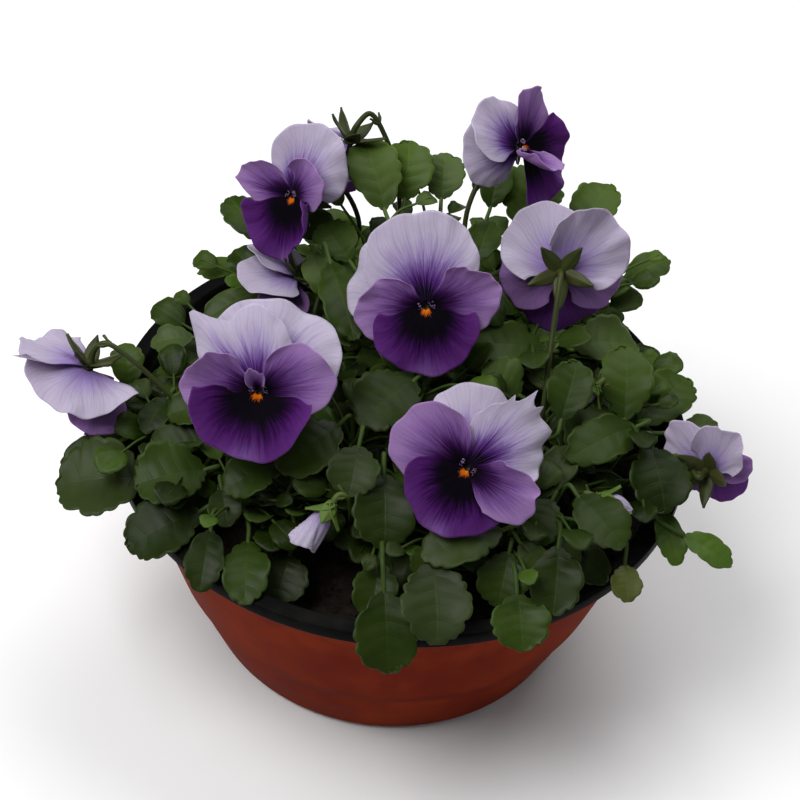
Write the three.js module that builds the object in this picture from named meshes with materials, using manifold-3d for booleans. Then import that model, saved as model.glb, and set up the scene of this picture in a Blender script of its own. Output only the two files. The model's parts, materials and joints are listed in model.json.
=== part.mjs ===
// A pansy bowl: violets in leaf and in flower, growing in soil in a round two-coloured plastic bowl.
// Millimetres, +Z up. The origin is the centre of the bowl's base on the ground, and the bowl's
// front is towards -Y.
import * as THREE from "three";
import { mergeVertices } from "three/addons/utils/BufferGeometryUtils.js";
import Module from "manifold-3d";

const wasm = await Module();
wasm.setup();

// The bowl: a flat base, a wall that flares out over a soft crease, and a flat rim that overhangs it.
const BOWL = {
  height: 114,
  rimRadius: 125,
  rimInner: 117.5,
  rimLip: 6.5,
  wall: 2.2,
  floor: 3,
  segments: 32,
  outline: [
    [81, 0],
    [84, 3],
    [92, 24],
    [96, 37],
    [99, 41],
    [108.5, 74],
    [117, 107.5],
  ],
};

// The soil fills the bowl to under its rim and is a little higher in the middle.
const SOIL = { edge: 96, middle: 100, planted: 14 };

const CLEAR = 0.3; // between pieces that lie against each other
const BLADE = 0.8; // thickness of leaves
const PETAL = 0.7; // thickness of petals
const STEM = { radius: 2.2, sides: 3, steps: 4 };
const STALK = { radius: 1.4, sides: 4, steps: 6, neck: 7 };
const HOLE = { clear: 0.9, above: 10, sides: 4 }; // round each stem in the soil
const PETIOLE = { width: 2.2, steps: 2, node: 0.85, curve: 0.35 };
const SEPAL = { length: 15, width: 6, widest: 0.42, bend: -8, notch: 2.8, cup: 0 };
const BUD = {
  lobes: 3,
  width: 0.5,
  notch: 4.6,
  widest: 0.6,
  bend: 26,
  cup: 0.6,
  sepal: { length: 11, tilt: 44, notch: 3.4 },
};
const HUB = { radius: 2.6, gap: 0.65, upper: [-0.35, 1.25], lower: [1.65, 3.65] };
const LEAF = {
  tilt: 19,
  bend: -38,
  cup: 0.5,
  notch: 0.13,
  full: 1.08,
  lobes: [18, 26],
  ribs: [0, 0.38, 0.72, 1],
  facing: [0, -0.3, 1],
};
const SHADE = { every: 3, length: 24, width: 17, turn: 137.5, reach: 17, rise: 0.15 };
const LIGHT = [0, -1.07, 1]; // the way that leaves rise out of each other's shade
const GIVE = { lift: 14, liftStep: 2, swing: 24, swingStep: 8, base: 0.6, tip: 0.4 };
const COLOURS = {
  clay: 0x8f3a24,
  soil: 0x241c16,
  leaf: 0x3c5530,
  stalk: 0x55602f,
  pale: 0xb3a6c6,
  violet: 0x4b1672,
};

// Each leafy stem: where it stands in the soil, and its tip.
const SHOOTS = [
  { name: "left_low", foot: [-62, -36], tip: [-86, -50, 116] },
  { name: "left_front", foot: [-50, -52], tip: [-64, -68, 118] },
  { name: "far_left", foot: [-78, -16], tip: [-104, -28, 120] },
  { name: "left_middle", foot: [-60, -8], tip: [-80, -13, 130] },
  { name: "left_back", foot: [-62, 14], tip: [-82, 14, 130] },
  { name: "front_left", foot: [-34, -50], tip: [-44, -66, 126] },
  { name: "inner_left", foot: [-16, -34], tip: [-19, -46, 140] },
  { name: "front_middle", foot: [-4, -58], tip: [-4, -78, 124] },
  { name: "front_right", foot: [18, -60], tip: [20, -80, 122] },
  { name: "right_front", foot: [38, -64], tip: [48, -80, 122] },
  { name: "right_low", foot: [54, -48], tip: [64, -66, 130] },
  { name: "far_right", foot: [76, -32], tip: [102, -38, 126] },
  { name: "right_middle", foot: [70, -8], tip: [94, -10, 132] },
  { name: "inner_right", foot: [44, -22], tip: [58, -33, 142] },
  { name: "centre", foot: [8, -14], tip: [8, -22, 150] },
  { name: "centre_right", foot: [38, 8], tip: [52, 12, 152] },
  { name: "right_back", foot: [62, 42], tip: [82, 62, 138] },
  { name: "back_right", foot: [34, 46], tip: [42, 60, 164] },
  { name: "back_middle", foot: [6, 44], tip: [6, 58, 170] },
  { name: "back_left", foot: [-16, 36], tip: [-18, 48, 168] },
  { name: "centre_left", foot: [-28, 10], tip: [-34, 18, 154] },
  { name: "left_rear", foot: [-48, 38], tip: [-68, 50, 138] },
];

// Each leaf that shows: the base of its blade, its tip, and its width.
const LEAVES = [
  [-102, -55, 118, -137, -58, 112, 34],
  [-78, -55, 126, -104, -65, 124, 28],
  [-78, -71, 118, -104, -84, 108, 25],
  [-72, -79, 117, -73, -98, 104, 15],
  [-57, -83, 116, -55, -109, 110, 18],
  [-40, -87, 114, -43, -105, 106, 20],
  [-48, -61, 140, -67, -73, 134, 18],
  [-80, -44, 132, -102, -49, 128, 17],
  [-70, -67, 128, -66, -81, 122, 13],
  [-25, -47, 150, -45, -67, 142, 24],
  [-16, -58, 150, -18, -75, 140, 20],
  [-5, -67, 144, -6, -92, 130, 24],
  [-78, -27, 136, -96, -31, 132, 16],
  [-99, -19, 130, -106, -36, 126, 12],
  [-88, -18, 132, -102, -11, 130, 12],
  [-88, -5, 134, -105, -3, 130, 9],
  [-93, 14, 136, -110, 12, 132, 13],
  [-117, -9, 126, -121, 5, 136, 14],
  [-122, -32, 124, -152, -38, 120, 13],
  [-118, -38, 120, -138, -48, 115, 13],
  [-111, -31, 124, -128, -36, 118, 14],
  [-4, -95, 124, -5, -115, 114, 17],
  [-1, -112, 126, 3, -134, 106, 24],
  [17, -94, 126, 21, -119, 110, 26],
  [16, -89, 130, 15, -103, 124, 14],
  [43, -82, 134, 14, -93, 128, 20],
  [47, -88, 128, 44, -105, 116, 20],
  [66, -82, 128, 65, -103, 114, 20],
  [51, -86, 132, 60, -95, 126, 11],
  [63, -67, 138, 55, -84, 130, 18],
  [73, -59, 134, 90, -76, 126, 20],
  [51, -100, 118, 54, -116, 106, 22],
  [73, -77, 122, 86, -86, 114, 14],
  [104, -34, 140, 113, -58, 130, 24],
  [98, -22, 140, 70, -46, 142, 20],
  [94, -84, 122, 95, -98, 117, 12],
  [101, -12, 132, 121, 16, 134, 22],
  [93, -19, 140, 81, 7, 154, 22],
  [65, -31, 148, 70, -9, 160, 18],
  [70, -44, 144, 83, -23, 150, 18],
  [56, -66, 136, 71, -41, 142, 14],
  [119, -63, 120, 138, -71, 114, 12],
  [110, -52, 122, 117, -73, 114, 12],
  [119, -11, 130, 134, -6, 130, 10],
  [48, -20, 150, 33, -13, 156, 20],
  [4, -25, 158, -16, -46, 152, 26],
  [58, 3, 156, 29, -2, 160, 20],
  [50, 23, 166, 36, 14, 168, 12],
  [28, 22, 170, 37, 8, 164, 12],
  [-36, 29, 172, -23, -6, 162, 18],
  [70, 17, 148, 98, 27, 142, 24],
  [95, 67, 146, 114, 81, 148, 14],
  [-70, 58, 158, -85, 78, 164, 17],
  [-74, 60, 140, -96, 61, 134, 11],
  [-67, 35, 148, -88, 22, 140, 13],
  [-15, 55, 182, -34, 81, 194, 22],
  [-7, 64, 182, -7, 83, 198, 22],
  [9, 67, 182, 9, 83, 194, 18],
  [31, 72, 176, 34, 88, 188, 14],
  [43, 67, 172, 54, 92, 184, 26],
  [71, 79, 160, 85, 106, 168, 20],
  [-28, 36, 168, -41, 51, 174, 18],
  [-35, 16, 162, -44, 35, 170, 14],
  [26, 38, 172, 26, 56, 180, 14],
];

// A petal: its clock angle on the flower's face (0 up, 90 to the right), length, how far it fans out
// (0 widest), half its angle, its tilt and bend out of the face, and how far it stands before it.
const UPPER_PETALS = [
  { clock: -34, length: 37, fan: 0.6, half: 70, tilt: -6, bend: -16, layer: 0 },
  { clock: 30, length: 38, fan: 0.6, half: 70, tilt: 1, bend: -8, layer: 0.9 },
];
const LOWER_PETALS = [
  { clock: 180, length: 28, fan: 0.2, half: 80, tilt: 7, bend: -14, layer: 3.2 },
  { clock: -92, length: 29, fan: 1, half: 62, tilt: 4, bend: -12, layer: 2.3 },
  { clock: 84, length: 29, fan: 1, half: 62, tilt: 4, bend: -12, layer: 2.3 },
];

// Each bloom: its throat, the way it faces, its top, the bends of its stalk from the soil up, and
// what its petals do otherwise than the usual ones.
const BLOOMS = [
  {
    name: "far_left",
    throat: [-132, -18, 144],
    face: [-0.3, -0.35, -0.89],
    top: [-0.87, -0.3, 0.4],
    foot: [-66, -26],
    bends: [[-91, -23, 128], [-111, -18, 146], [-125, -15, 154.5]],
    sepals: -30,
    upper: [
      { clock: -42, length: 30, fan: 0.1, half: 56, tilt: 0, bend: 20 },
      { clock: 58, length: 27, fan: 0.05, half: 84, tilt: 14, bend: 40 },
    ],
    lower: [
      { length: 30, tilt: 46, bend: 34 },
      { clock: -106, length: 28, tilt: 32, bend: 38 },
      { clock: 104, length: 31, fan: 1.4, tilt: 32, bend: 36 },
    ],
  },
  {
    name: "left",
    throat: [-57, -51, 168],
    face: [-0.12, -0.66, 0.75],
    top: [-0.05, 0.7, 0.7],
    foot: [-52, -24],
    bends: [[-53, -26, 135]],
    sepals: -25,
    upper: [
      { clock: -22, length: 36, fan: 0.8, half: 62, tilt: 6, bend: -6, layer: 0.9 },
      { clock: 16, length: 42, fan: 0.45, half: 76, tilt: -6, bend: -16, layer: 0 },
    ],
    lower: [
      { clock: 187, length: 28, fan: 0.06, half: 84 },
      { clock: -82, length: 31, fan: 1.7, half: 44, tilt: 16 },
      { clock: 74, length: 31 },
      { clock: -4, length: 14, fan: 4, half: 40, tilt: 38, bend: 20, layer: 3.2 },
    ],
  },
  {
    name: "centre",
    throat: [6, -4, 180],
    face: [-0.03, -0.79, 0.61],
    top: [-0.1, 0.68, 0.73],
    foot: [-4, 6],
    bends: [[-3, 8, 140]],
    sepals: -25,
    upper: [
      { clock: -50, length: 38, fan: 0.6 },
      { clock: -5, length: 40, fan: 0.5, half: 68 },
    ],
    lower: [{}, { clock: -97 }, { clock: 78, length: 31, fan: 1.3, half: 46 }],
  },
  {
    name: "right",
    throat: [61, 21, 184],
    face: [0.05, 0.87, -0.5],
    top: [-0.08, 0.5, 0.86],
    foot: [52, -12],
    bends: [[58, -25, 132], [58, -24, 150], [59, -6, 168]],
    sepals: -24,
    upper: [{ clock: -46, tilt: 0, bend: 24, length: 32 }, { clock: 32, tilt: 8, bend: 30, length: 31 }],
    lower: [
      { tilt: 16, bend: 12, length: 31 },
      { tilt: 15, bend: 24, length: 31 },
      { clock: 96, tilt: 15, bend: 26, length: 31 },
    ],
  },
  {
    name: "front",
    throat: [27, -71, 156],
    face: [0.03, -0.72, 0.69],
    top: [0, 0.69, 0.72],
    foot: [24, -40],
    bends: [[25, -42, 128]],
    sepals: -25,
    upper: [
      { clock: 6, length: 36, fan: 0.9, half: 62 },
      { clock: 58, length: 35, fan: 1, half: 58 },
    ],
    lower: [
      { clock: 203 },
      { clock: -60, length: 33, fan: 0.9, half: 64 },
      { clock: 116, length: 32, fan: 1.9, half: 42, tilt: 14, layer: 3.2 },
    ],
  },
  {
    name: "rear_left",
    throat: [-53, 50, 190],
    face: [-0.64, -0.65, 0.4],
    top: [0.1, 0.68, 0.73],
    foot: [-32, 42],
    bends: [[-30, 53, 150], [-26, 61, 170], [-37, 65, 187]],
    sepals: -30,
    upper: [{ clock: -26, length: 31 }, { clock: 26, length: 33 }],
    lower: [
      { length: 28 },
      { clock: -70, length: 27, fan: 2.2, half: 46, tilt: 12 },
      { clock: 62, length: 24, half: 50, tilt: 16 },
    ],
  },
  {
    name: "rear_right",
    throat: [39, 69, 212],
    face: [0.75, -0.47, 0.46],
    top: [-0.66, -0.2, 0.72],
    foot: [22, 34],
    bends: [[21, 48, 160], [21, 57, 188]],
    sepals: -30,
    upper: [{ clock: -44, length: 26, tilt: -16 }, { clock: 6, length: 26, tilt: -10 }],
    lower: [
      { clock: 174, length: 30, half: 60, tilt: 4 },
      { clock: -122, length: 24, tilt: 40, bend: 30 },
      { length: 27 },
    ],
  },
  {
    name: "back",
    throat: [-33, 77, 202],
    face: [-0.38, -0.28, -0.88],
    top: [-0.9, 0.3, 0.3],
    foot: [-2, 56],
    bends: [[-8, 68, 166], [-11, 75, 186], [-17, 80, 202], [-25, 84, 212]],
    sepals: -30,
    upper: [
      { clock: -48, length: 24, half: 58, tilt: 8, bend: 24 },
      { clock: 42, length: 24, half: 58, tilt: 14, bend: 24 },
    ],
    lower: [
      { length: 21, half: 60, tilt: 38, bend: 26 },
      { clock: -98, length: 22, half: 54, tilt: 32, bend: 28 },
      { clock: 96, length: 22, half: 54, tilt: 32, bend: 28 },
    ],
  },
  {
    name: "rear_low",
    throat: [-50, 35, 158],
    face: [-0.5, -0.2, -0.84],
    top: [-0.85, 0.1, 0.5],
    foot: [-44, 12],
    bends: [[-43, 22, 140], [-40, 35, 157]],
    sepals: -25,
    upper: [{ length: 27, tilt: 4, bend: 20 }, { length: 27, tilt: 11, bend: 26 }],
    lower: [
      { length: 22, tilt: 28, bend: 20 },
      { length: 24, tilt: 22, bend: 26 },
      { length: 24, tilt: 22, bend: 26 },
    ],
  },
  {
    name: "far_right",
    throat: [127, -42, 137],
    face: [0.53, 0.79, -0.33],
    top: [-0.18, 0.64, 0.69],
    foot: [84, -18],
    bends: [[108, -20, 124], [119, -30, 130]],
    sepals: -34,
    upper: [
      { clock: -40, length: 23, fan: 1, half: 58, tilt: -6, bend: 10 },
      { clock: 34, length: 25, fan: 2, half: 46, tilt: 2, bend: 10 },
    ],
    lower: [
      { clock: 172, length: 18, tilt: 16, bend: 12 },
      { length: 18, fan: 2.4, half: 44, tilt: 8, bend: 10 },
      { clock: 96, length: 20, fan: 2, half: 46, tilt: 10, bend: 12 },
    ],
  },
];

// Each bud: like a bloom, with its petals still rolled round each other.
const BUDS = [
  {
    name: "front",
    throat: [-26, -84, 138],
    face: [-0.5, -0.5, -0.7],
    foot: [-18, -62],
    bends: [[-17, -74, 128], [-19, -79, 142]],
    length: 24,
    open: 62,
  },
  {
    name: "right",
    throat: [84, -64, 137],
    face: [0.95, -0.15, -0.3],
    foot: [70, -46],
    bends: [[74, -58, 130], [78, -63, 137]],
    length: 17,
    open: 68,
  },
  {
    name: "inner",
    throat: [77, -18, 154],
    face: [-0.65, -0.75, -0.2],
    foot: [64, 6],
    bends: [[78, -4, 140], [80, -12, 152]],
    length: 14,
    open: 70,
  },
];

const vector = (list) => new THREE.Vector3(...list);

// A repeatable run of draws between 0 and 1.
function draws(seed) {
  let state = seed;
  return () => {
    state = (state * 48271) % 2147483647;
    return state / 2147483647;
  };
}

function solidOf(geometry) {
  const bare = new THREE.BufferGeometry();
  bare.setAttribute("position", geometry.getAttribute("position"));
  if (geometry.index) bare.setIndex(geometry.index);
  const merged = mergeVertices(bare, 1e-3);
  return new wasm.Manifold(
    new wasm.Mesh({
      numProp: 3,
      vertProperties: merged.getAttribute("position").array,
      triVerts: new Uint32Array(merged.index.array),
    }),
  );
}

function geometryOf(solid) {
  const mesh = solid.getMesh();
  const geometry = new THREE.BufferGeometry();
  geometry.setAttribute("position", new THREE.BufferAttribute(mesh.vertProperties, mesh.numProp));
  geometry.setIndex(new THREE.BufferAttribute(mesh.triVerts, 1));
  return geometry;
}

const joined = (solids) => solids.reduce((whole, piece) => whole.add(piece));

// The main body of a solid, without loose scraps and with sealed hollows filled.
function mainBody(solid) {
  const bodies = solidOf(geometryOf(solid)).decompose();
  return bodies.reduce((most, body) => (body.volume() > most.volume() ? body : most));
}

// Three axes that suit a blade: along it, across it, and out of its upper face.
function axesOf(along, facing) {
  const axis = along.clone().normalize();
  const out = facing.clone().addScaledVector(axis, -facing.dot(axis)).normalize();
  const across = new THREE.Vector3().crossVectors(out, axis);
  return { axis, across, out };
}

// Carries a point of a flat outline (s along, y across) onto a blade that bends along its length.
function bent(frame, shape, s, y) {
  const start = THREE.MathUtils.degToRad(shape.tilt);
  const turn = THREE.MathUtils.degToRad(shape.bend || 0.01);
  const angle = start + (turn * s) / shape.length;
  const radius = shape.length / turn;
  const cup = (shape.cup * y * y) / shape.length;
  const along = radius * (Math.sin(angle) - Math.sin(start)) - cup * Math.sin(angle);
  const rise = radius * (Math.cos(start) - Math.cos(angle)) + cup * Math.cos(angle);
  return frame.origin
    .clone()
    .addScaledVector(frame.axis, along)
    .addScaledVector(frame.across, y)
    .addScaledVector(frame.out, rise);
}

// Triangles between two rows of point numbers, the first lying to the left of the second.
function zipped(left, leftShares, right, rightShares) {
  const triangles = [];
  let i = 0;
  let j = 0;
  while (i < left.length - 1 || j < right.length - 1) {
    const stepLeft =
      i < left.length - 1 && (j === right.length - 1 || leftShares[i + 1] <= rightShares[j + 1]);
    const next = stepLeft ? left[i + 1] : right[j + 1];
    if (left[i] !== right[j] && next !== left[i] && next !== right[j]) {
      triangles.push([right[j], next, left[i]]);
    }
    if (stepLeft) i += 1;
    else j += 1;
  }
  return triangles;
}

// Gives a bent surface its thickness: both faces alike, and a rim round its open edge.
function sheet(points, triangles, thickness) {
  const normals = points.map(() => new THREE.Vector3());
  const edges = new Set();
  for (const [a, b, c] of triangles) {
    const ab = points[b].clone().sub(points[a]);
    const ac = points[c].clone().sub(points[a]);
    const normal = ab.cross(ac);
    for (const corner of [a, b, c]) normals[corner].add(normal);
    edges.add(a + "-" + b).add(b + "-" + c).add(c + "-" + a);
  }
  const count = points.length;
  const positions = [];
  for (const side of [0.5, -0.5]) {
    points.forEach((point, k) => {
      const moved = point.clone().addScaledVector(normals[k].normalize(), side * thickness);
      positions.push(moved.x, moved.y, moved.z);
    });
  }
  const index = [];
  for (const [a, b, c] of triangles) {
    index.push(a, b, c, a + count, c + count, b + count);
    for (const [from, to] of [[a, b], [b, c], [c, a]]) {
      if (edges.has(to + "-" + from)) continue;
      index.push(from, from + count, to + count, from, to + count, to);
    }
  }
  const geometry = new THREE.BufferGeometry();
  geometry.setAttribute("position", new THREE.Float32BufferAttribute(positions, 3));
  geometry.setIndex(index);
  return solidOf(geometry);
}

// Half the width of a leaf blade at a share of its length: narrow at the base, rounded at the tip.
const leafHalf = (share) => 0.5 * Math.sin(Math.PI * share ** 1.15) ** 0.62;

// Points on both edges of a flat strip along a path, whose far end lies across a blade's base.
function stripEdges(path, across, width) {
  const side = across.clone();
  const edges = [];
  for (let k = PETIOLE.steps; k >= 0; k -= 1) {
    const tangent = path.getTangent(k / PETIOLE.steps);
    side.addScaledVector(tangent, -side.dot(tangent)).normalize();
    const centre = path.getPoint(k / PETIOLE.steps);
    edges.unshift([0.5, -0.5].map((half) => centre.clone().addScaledVector(side, half * width)));
  }
  return edges;
}

// A leaf: its petiole, as a flat strip along a path, then its blade, with scallops all round its edge.
// Without a path it is the blade alone. It is a little larger all over by grow.
function leafSheet(frame, shape, path, grow) {
  const points = [];
  const put = (point) => points.push(point) - 1;
  const strip = path ? stripEdges(path, frame.across, PETIOLE.width + 2 * grow) : [];
  const stripLeft = strip.map(([point]) => put(point));
  const stripRight = strip.map(([, point]) => put(point));
  const steps = strip.map((_, k) => k);
  const base = put(frame.origin);
  const left = [strip.length ? stripLeft[stripLeft.length - 1] : base];
  const right = [strip.length ? stripRight[stripRight.length - 1] : base];
  const shares = [0];
  const lobes = LEAF.lobes.filter((width) => shape.width >= width).length + 2;
  const last = 2 * lobes + 1;
  for (let k = 1; k <= last; k += 1) {
    const share = (1 - Math.cos((Math.PI * k) / last)) / 2;
    const scale = k % 2 === 0 ? 1 - LEAF.notch : 1;
    const s = shape.length * (0.5 + (share - 0.5) * scale) + (2 * share - 1) * grow;
    const y = k === last ? 0 : shape.width * leafHalf(share) * scale + grow;
    shares.push(share);
    left.push(put(bent(frame, shape, s, y)));
    right.push(k === last ? left[k] : put(bent(frame, shape, s, -y)));
  }
  const inner = LEAF.ribs.slice(1, -1).map((share) => put(bent(frame, shape, shape.length * share, 0)));
  const rib = [base, ...inner, left[last]];
  const triangles = [
    ...zipped(stripLeft, steps, stripRight, steps),
    ...zipped(left, shares, rib, LEAF.ribs),
    ...zipped(rib, LEAF.ribs, right, shares),
  ];
  if (strip.length) triangles.push([right[0], base, left[0]]);
  return sheet(points, triangles, BLADE + 2 * grow);
}

// A petal: rows of points that fan out from its claw, the last one along its edge.
function petalBlade(frame, shape, grow) {
  const half = THREE.MathUtils.degToRad(shape.half);
  const rows = [
    [0, 1],
    [0.5, 3],
    [1, 7],
  ];
  const points = [];
  const numbered = [];
  const shares = [];
  for (const [reach, count] of rows) {
    const row = [];
    const across = [];
    for (let k = 0; k < count; k += 1) {
      const share = count === 1 ? 0 : 1 - (2 * k) / (count - 1);
      const turn = share * half;
      const radius = shape.length * Math.cos(turn) ** shape.fan * reach + grow * reach;
      row.push(points.push(bent(frame, shape, radius * Math.cos(turn), radius * Math.sin(turn))) - 1);
      across.push(-share);
    }
    numbered.push(row);
    shares.push(across);
  }
  const triangles = [];
  for (let k = 1; k < rows.length; k += 1) {
    triangles.push(...zipped(numbered[k - 1], shares[k - 1], numbered[k], shares[k]));
  }
  return sheet(points, triangles, PETAL + 2 * grow);
}

// A ring of pointed lobes round a flower's axis as one star-shaped blade, such as its sepals.
function star(flower, lobes, shape, level, thickness, grow) {
  const points = [];
  const triangles = [];
  const inner = [];
  const half = shape.width / 2 + grow;
  const base = level - shape.notch * Math.sin(THREE.MathUtils.degToRad(shape.tilt));
  for (let k = 0; k < lobes; k += 1) {
    const clock = (360 * (k + 0.5)) / lobes;
    const frame = clockFrame(flower, clock, base);
    const between = clockFrame(flower, clock - 180 / lobes, base);
    const first = points.length;
    inner.push(first);
    points.push(bent(between, shape, shape.notch + grow, 0));
    points.push(bent(frame, shape, shape.length * shape.widest, half));
    points.push(bent(frame, shape, shape.length + grow, 0));
    points.push(bent(frame, shape, shape.length * shape.widest, -half));
    const next = k === lobes - 1 ? 0 : first + 4;
    triangles.push([first, next, first + 3], [first, first + 3, first + 1]);
    triangles.push([first + 3, first + 2, first + 1]);
  }
  for (let k = 1; k < lobes - 1; k += 1) triangles.push([inner[0], inner[k + 1], inner[k]]);
  return sheet(points, triangles, thickness + 2 * grow);
}

// A round rod along a curve.
function rod(curve, radius, sides, steps) {
  const section = new THREE.Shape();
  for (let k = 0; k < sides; k += 1) {
    const angle = (2 * Math.PI * k) / sides;
    if (k === 0) section.moveTo(radius, 0);
    else section.lineTo(radius * Math.cos(angle), radius * Math.sin(angle));
  }
  return solidOf(
    new THREE.ExtrudeGeometry(section, { steps, bevelEnabled: false, extrudePath: curve }),
  );
}

const soilAt = (x, y) => {
  const share = Math.hypot(x, y) / BOWL.rimInner;
  return SOIL.middle - (SOIL.middle - SOIL.edge) * share * share;
};

// Straight up out of the soil, then through the given points.
function risingPath(foot, points) {
  const [x, y] = foot;
  const ground = soilAt(x, y);
  const at = (above) => new THREE.Vector3(x, y, ground + above);
  const free = [at(2), at(6), ...points];
  const path = new THREE.CurvePath();
  path.add(new THREE.LineCurve3(at(-SOIL.planted), at(2)));
  path.add(new THREE.CatmullRomCurve3(free, false, "centripetal"));
  return path;
}

// A short upright drum on an axis, between two heights along it.
function drum(frame, radius, from, to, sides) {
  const geometry = new THREE.CylinderGeometry(radius, radius, to - from, sides);
  const turn = new THREE.Matrix4().makeBasis(frame.across, frame.out, frame.axis);
  const centre = frame.origin.clone().addScaledVector(frame.out, (from + to) / 2);
  geometry.applyMatrix4(turn.setPosition(centre));
  return solidOf(geometry);
}

// The frame of a petal or sepal at a clock angle on a flower's face.
function clockFrame(flower, clock, layer) {
  const angle = THREE.MathUtils.degToRad(clock);
  const axis = flower.top.clone().applyAxisAngle(flower.face, -angle);
  const across = new THREE.Vector3().crossVectors(flower.face, axis);
  const origin = flower.throat.clone().addScaledVector(flower.face, layer);
  return { origin, axis, across, out: flower.face };
}

function flowerOf(spec) {
  const face = vector(spec.face).normalize();
  const top = vector(spec.top || [0, 0, 1]);
  top.addScaledVector(face, -top.dot(face)).normalize();
  return { throat: vector(spec.throat), face, top };
}

// The stalk, hooked over at its top, with the five sepals that it carries behind the petals.
function stalkSolid(spec, grow) {
  const flower = flowerOf(spec);
  const level = -HUB.gap - BLADE / 2;
  const end = flower.throat.clone().addScaledVector(flower.face, level);
  const behind = end.clone().addScaledVector(flower.face, -STALK.neck);
  const path = risingPath(spec.foot, [...spec.bends.map(vector), behind, end]);
  const steps = STALK.steps + 2 * spec.bends.length;
  const sepals = star(flower, 5, { ...SEPAL, tilt: spec.sepals, ...spec.sepal }, level, BLADE, grow);
  return rod(path, STALK.radius + grow, STALK.sides, steps).add(sepals);
}

function petalsSolid(spec, usual, changes, hub, grow) {
  const flower = flowerOf(spec);
  const pieces = [drum(clockFrame(flower, 0, 0), HUB.radius + grow, hub[0] - grow, hub[1] + grow, 4)];
  changes.forEach((change, k) => {
    const shape = { cup: 0, ...usual[Math.min(k, usual.length - 1)], ...change };
    pieces.push(petalBlade(clockFrame(flower, shape.clock, shape.layer), shape, grow));
  });
  return joined(pieces);
}

const blooms = [];
const addBloomPart = (name, colour, solid) => blooms.push({ name, colour, solid: mainBody(solid) });

for (const spec of BLOOMS) {
  const stalk = stalkSolid(spec, 0);
  const wideStalk = stalkSolid(spec, CLEAR);
  const lower = petalsSolid(spec, LOWER_PETALS, spec.lower, HUB.lower, 0);
  const wideLower = petalsSolid(spec, LOWER_PETALS, spec.lower, HUB.lower, CLEAR);
  const upper = petalsSolid(spec, UPPER_PETALS, spec.upper, HUB.upper, 0);
  const name = "bloom_" + spec.name;
  addBloomPart(name + "_stalk", COLOURS.stalk, stalk);
  addBloomPart(name + "_lower", COLOURS.violet, lower.subtract(wideStalk));
  addBloomPart(name + "_upper", COLOURS.pale, upper.subtract(wideStalk).subtract(wideLower));
}

// The petals of a bud are rolled so tight that they are filled.
for (const spec of BUDS) {
  const bud = { ...spec, sepal: BUD.sepal };
  const shape = { ...BUD, length: spec.length, width: spec.length * BUD.width, tilt: spec.open };
  const petals = star(flowerOf(bud), BUD.lobes, shape, 0, PETAL, 0).hull();
  addBloomPart("bud_" + spec.name + "_stalk", COLOURS.stalk, stalkSolid(bud, 0));
  addBloomPart("bud_" + spec.name + "_petals", COLOURS.pale, petals.subtract(stalkSolid(bud, CLEAR)));
}

// The ways a leaf may give way to its neighbours, the smallest first: up or down, and round.
const gives = [];
for (let lift = -GIVE.lift; lift <= GIVE.lift; lift += GIVE.liftStep) {
  for (let swing = -GIVE.swing; swing <= GIVE.swing; swing += GIVE.swingStep) {
    gives.push({ lift, swing, size: Math.abs(lift) + Math.abs(swing) / 3 });
  }
}
gives.sort((a, b) => a.size - b.size);

// A leaf with its petiole, given way by some lift and swing.
function leafSolid(shoot, leaf, give, grow, whole) {
  const turn = THREE.MathUtils.degToRad(give.swing);
  const base = leaf.base.clone().addScaledVector(vector(LIGHT), give.lift * GIVE.base);
  const along = leaf.tip.clone().sub(leaf.base).applyAxisAngle(new THREE.Vector3(0, 0, 1), turn);
  along.addScaledVector(vector(LIGHT), give.lift * GIVE.tip);
  const frame = { origin: base, ...axesOf(along, vector(LEAF.facing)) };
  const shape = {
    length: along.length() * LEAF.full,
    width: leaf.width * LEAF.full,
    tilt: LEAF.tilt,
    bend: LEAF.bend,
    cup: LEAF.cup,
  };
  const root = shoot.foot3.clone().lerp(shoot.tip3, leaf.node);
  const away = base.clone().addScaledVector(frame.axis, -PETIOLE.curve * base.distanceTo(root));
  const path = new THREE.CatmullRomCurve3([root, away, base]);
  return leafSheet(frame, shape, whole ? path : null, grow);
}

function boxesMeet(a, b) {
  return [0, 1, 2].every((k) => a.min[k] <= b.max[k] && b.min[k] <= a.max[k]);
}

const meets = (a, b) => boxesMeet(a.boundingBox(), b.boundingBox()) && !a.intersect(b).isEmpty();

const shoots = SHOOTS.map((spec) => {
  const foot3 = new THREE.Vector3(...spec.foot, soilAt(...spec.foot));
  const tip3 = vector(spec.tip);
  const stem = rod(risingPath(spec.foot, [tip3]), STEM.radius, STEM.sides, STEM.steps);
  return { ...spec, foot3, tip3, pieces: [stem], blades: [], leaves: [] };
});

for (const [bx, by, bz, tx, ty, tz, width] of LEAVES) {
  const base = new THREE.Vector3(bx, by, bz);
  const tip = new THREE.Vector3(tx, ty, tz);
  const shoot = shoots.reduce((a, b) => (b.tip3.distanceTo(base) < a.tip3.distanceTo(base) ? b : a));
  shoot.leaves.push({ base, tip, width, node: PETIOLE.node });
}

// Lower leaves in the shade, one turn of the leaf spiral after another.
shoots.forEach((shoot, number) => {
  if (number % SHADE.every) return;
  const draw = draws(211 + 37 * number);
  const turn = THREE.MathUtils.degToRad(SHADE.turn * number + 30 * draw());
  const node = 0.45 + 0.2 * draw();
  const out = new THREE.Vector3(Math.cos(turn), Math.sin(turn), SHADE.rise);
  const root = shoot.foot3.clone().lerp(shoot.tip3, node);
  const base = root.clone().addScaledVector(out, SHADE.reach * (0.8 + 0.4 * draw()));
  const length = SHADE.length * (0.85 + 0.3 * draw());
  shoot.leaves.push({ base, tip: base.clone().addScaledVector(out, length), width: SHADE.width, node });
});

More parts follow.
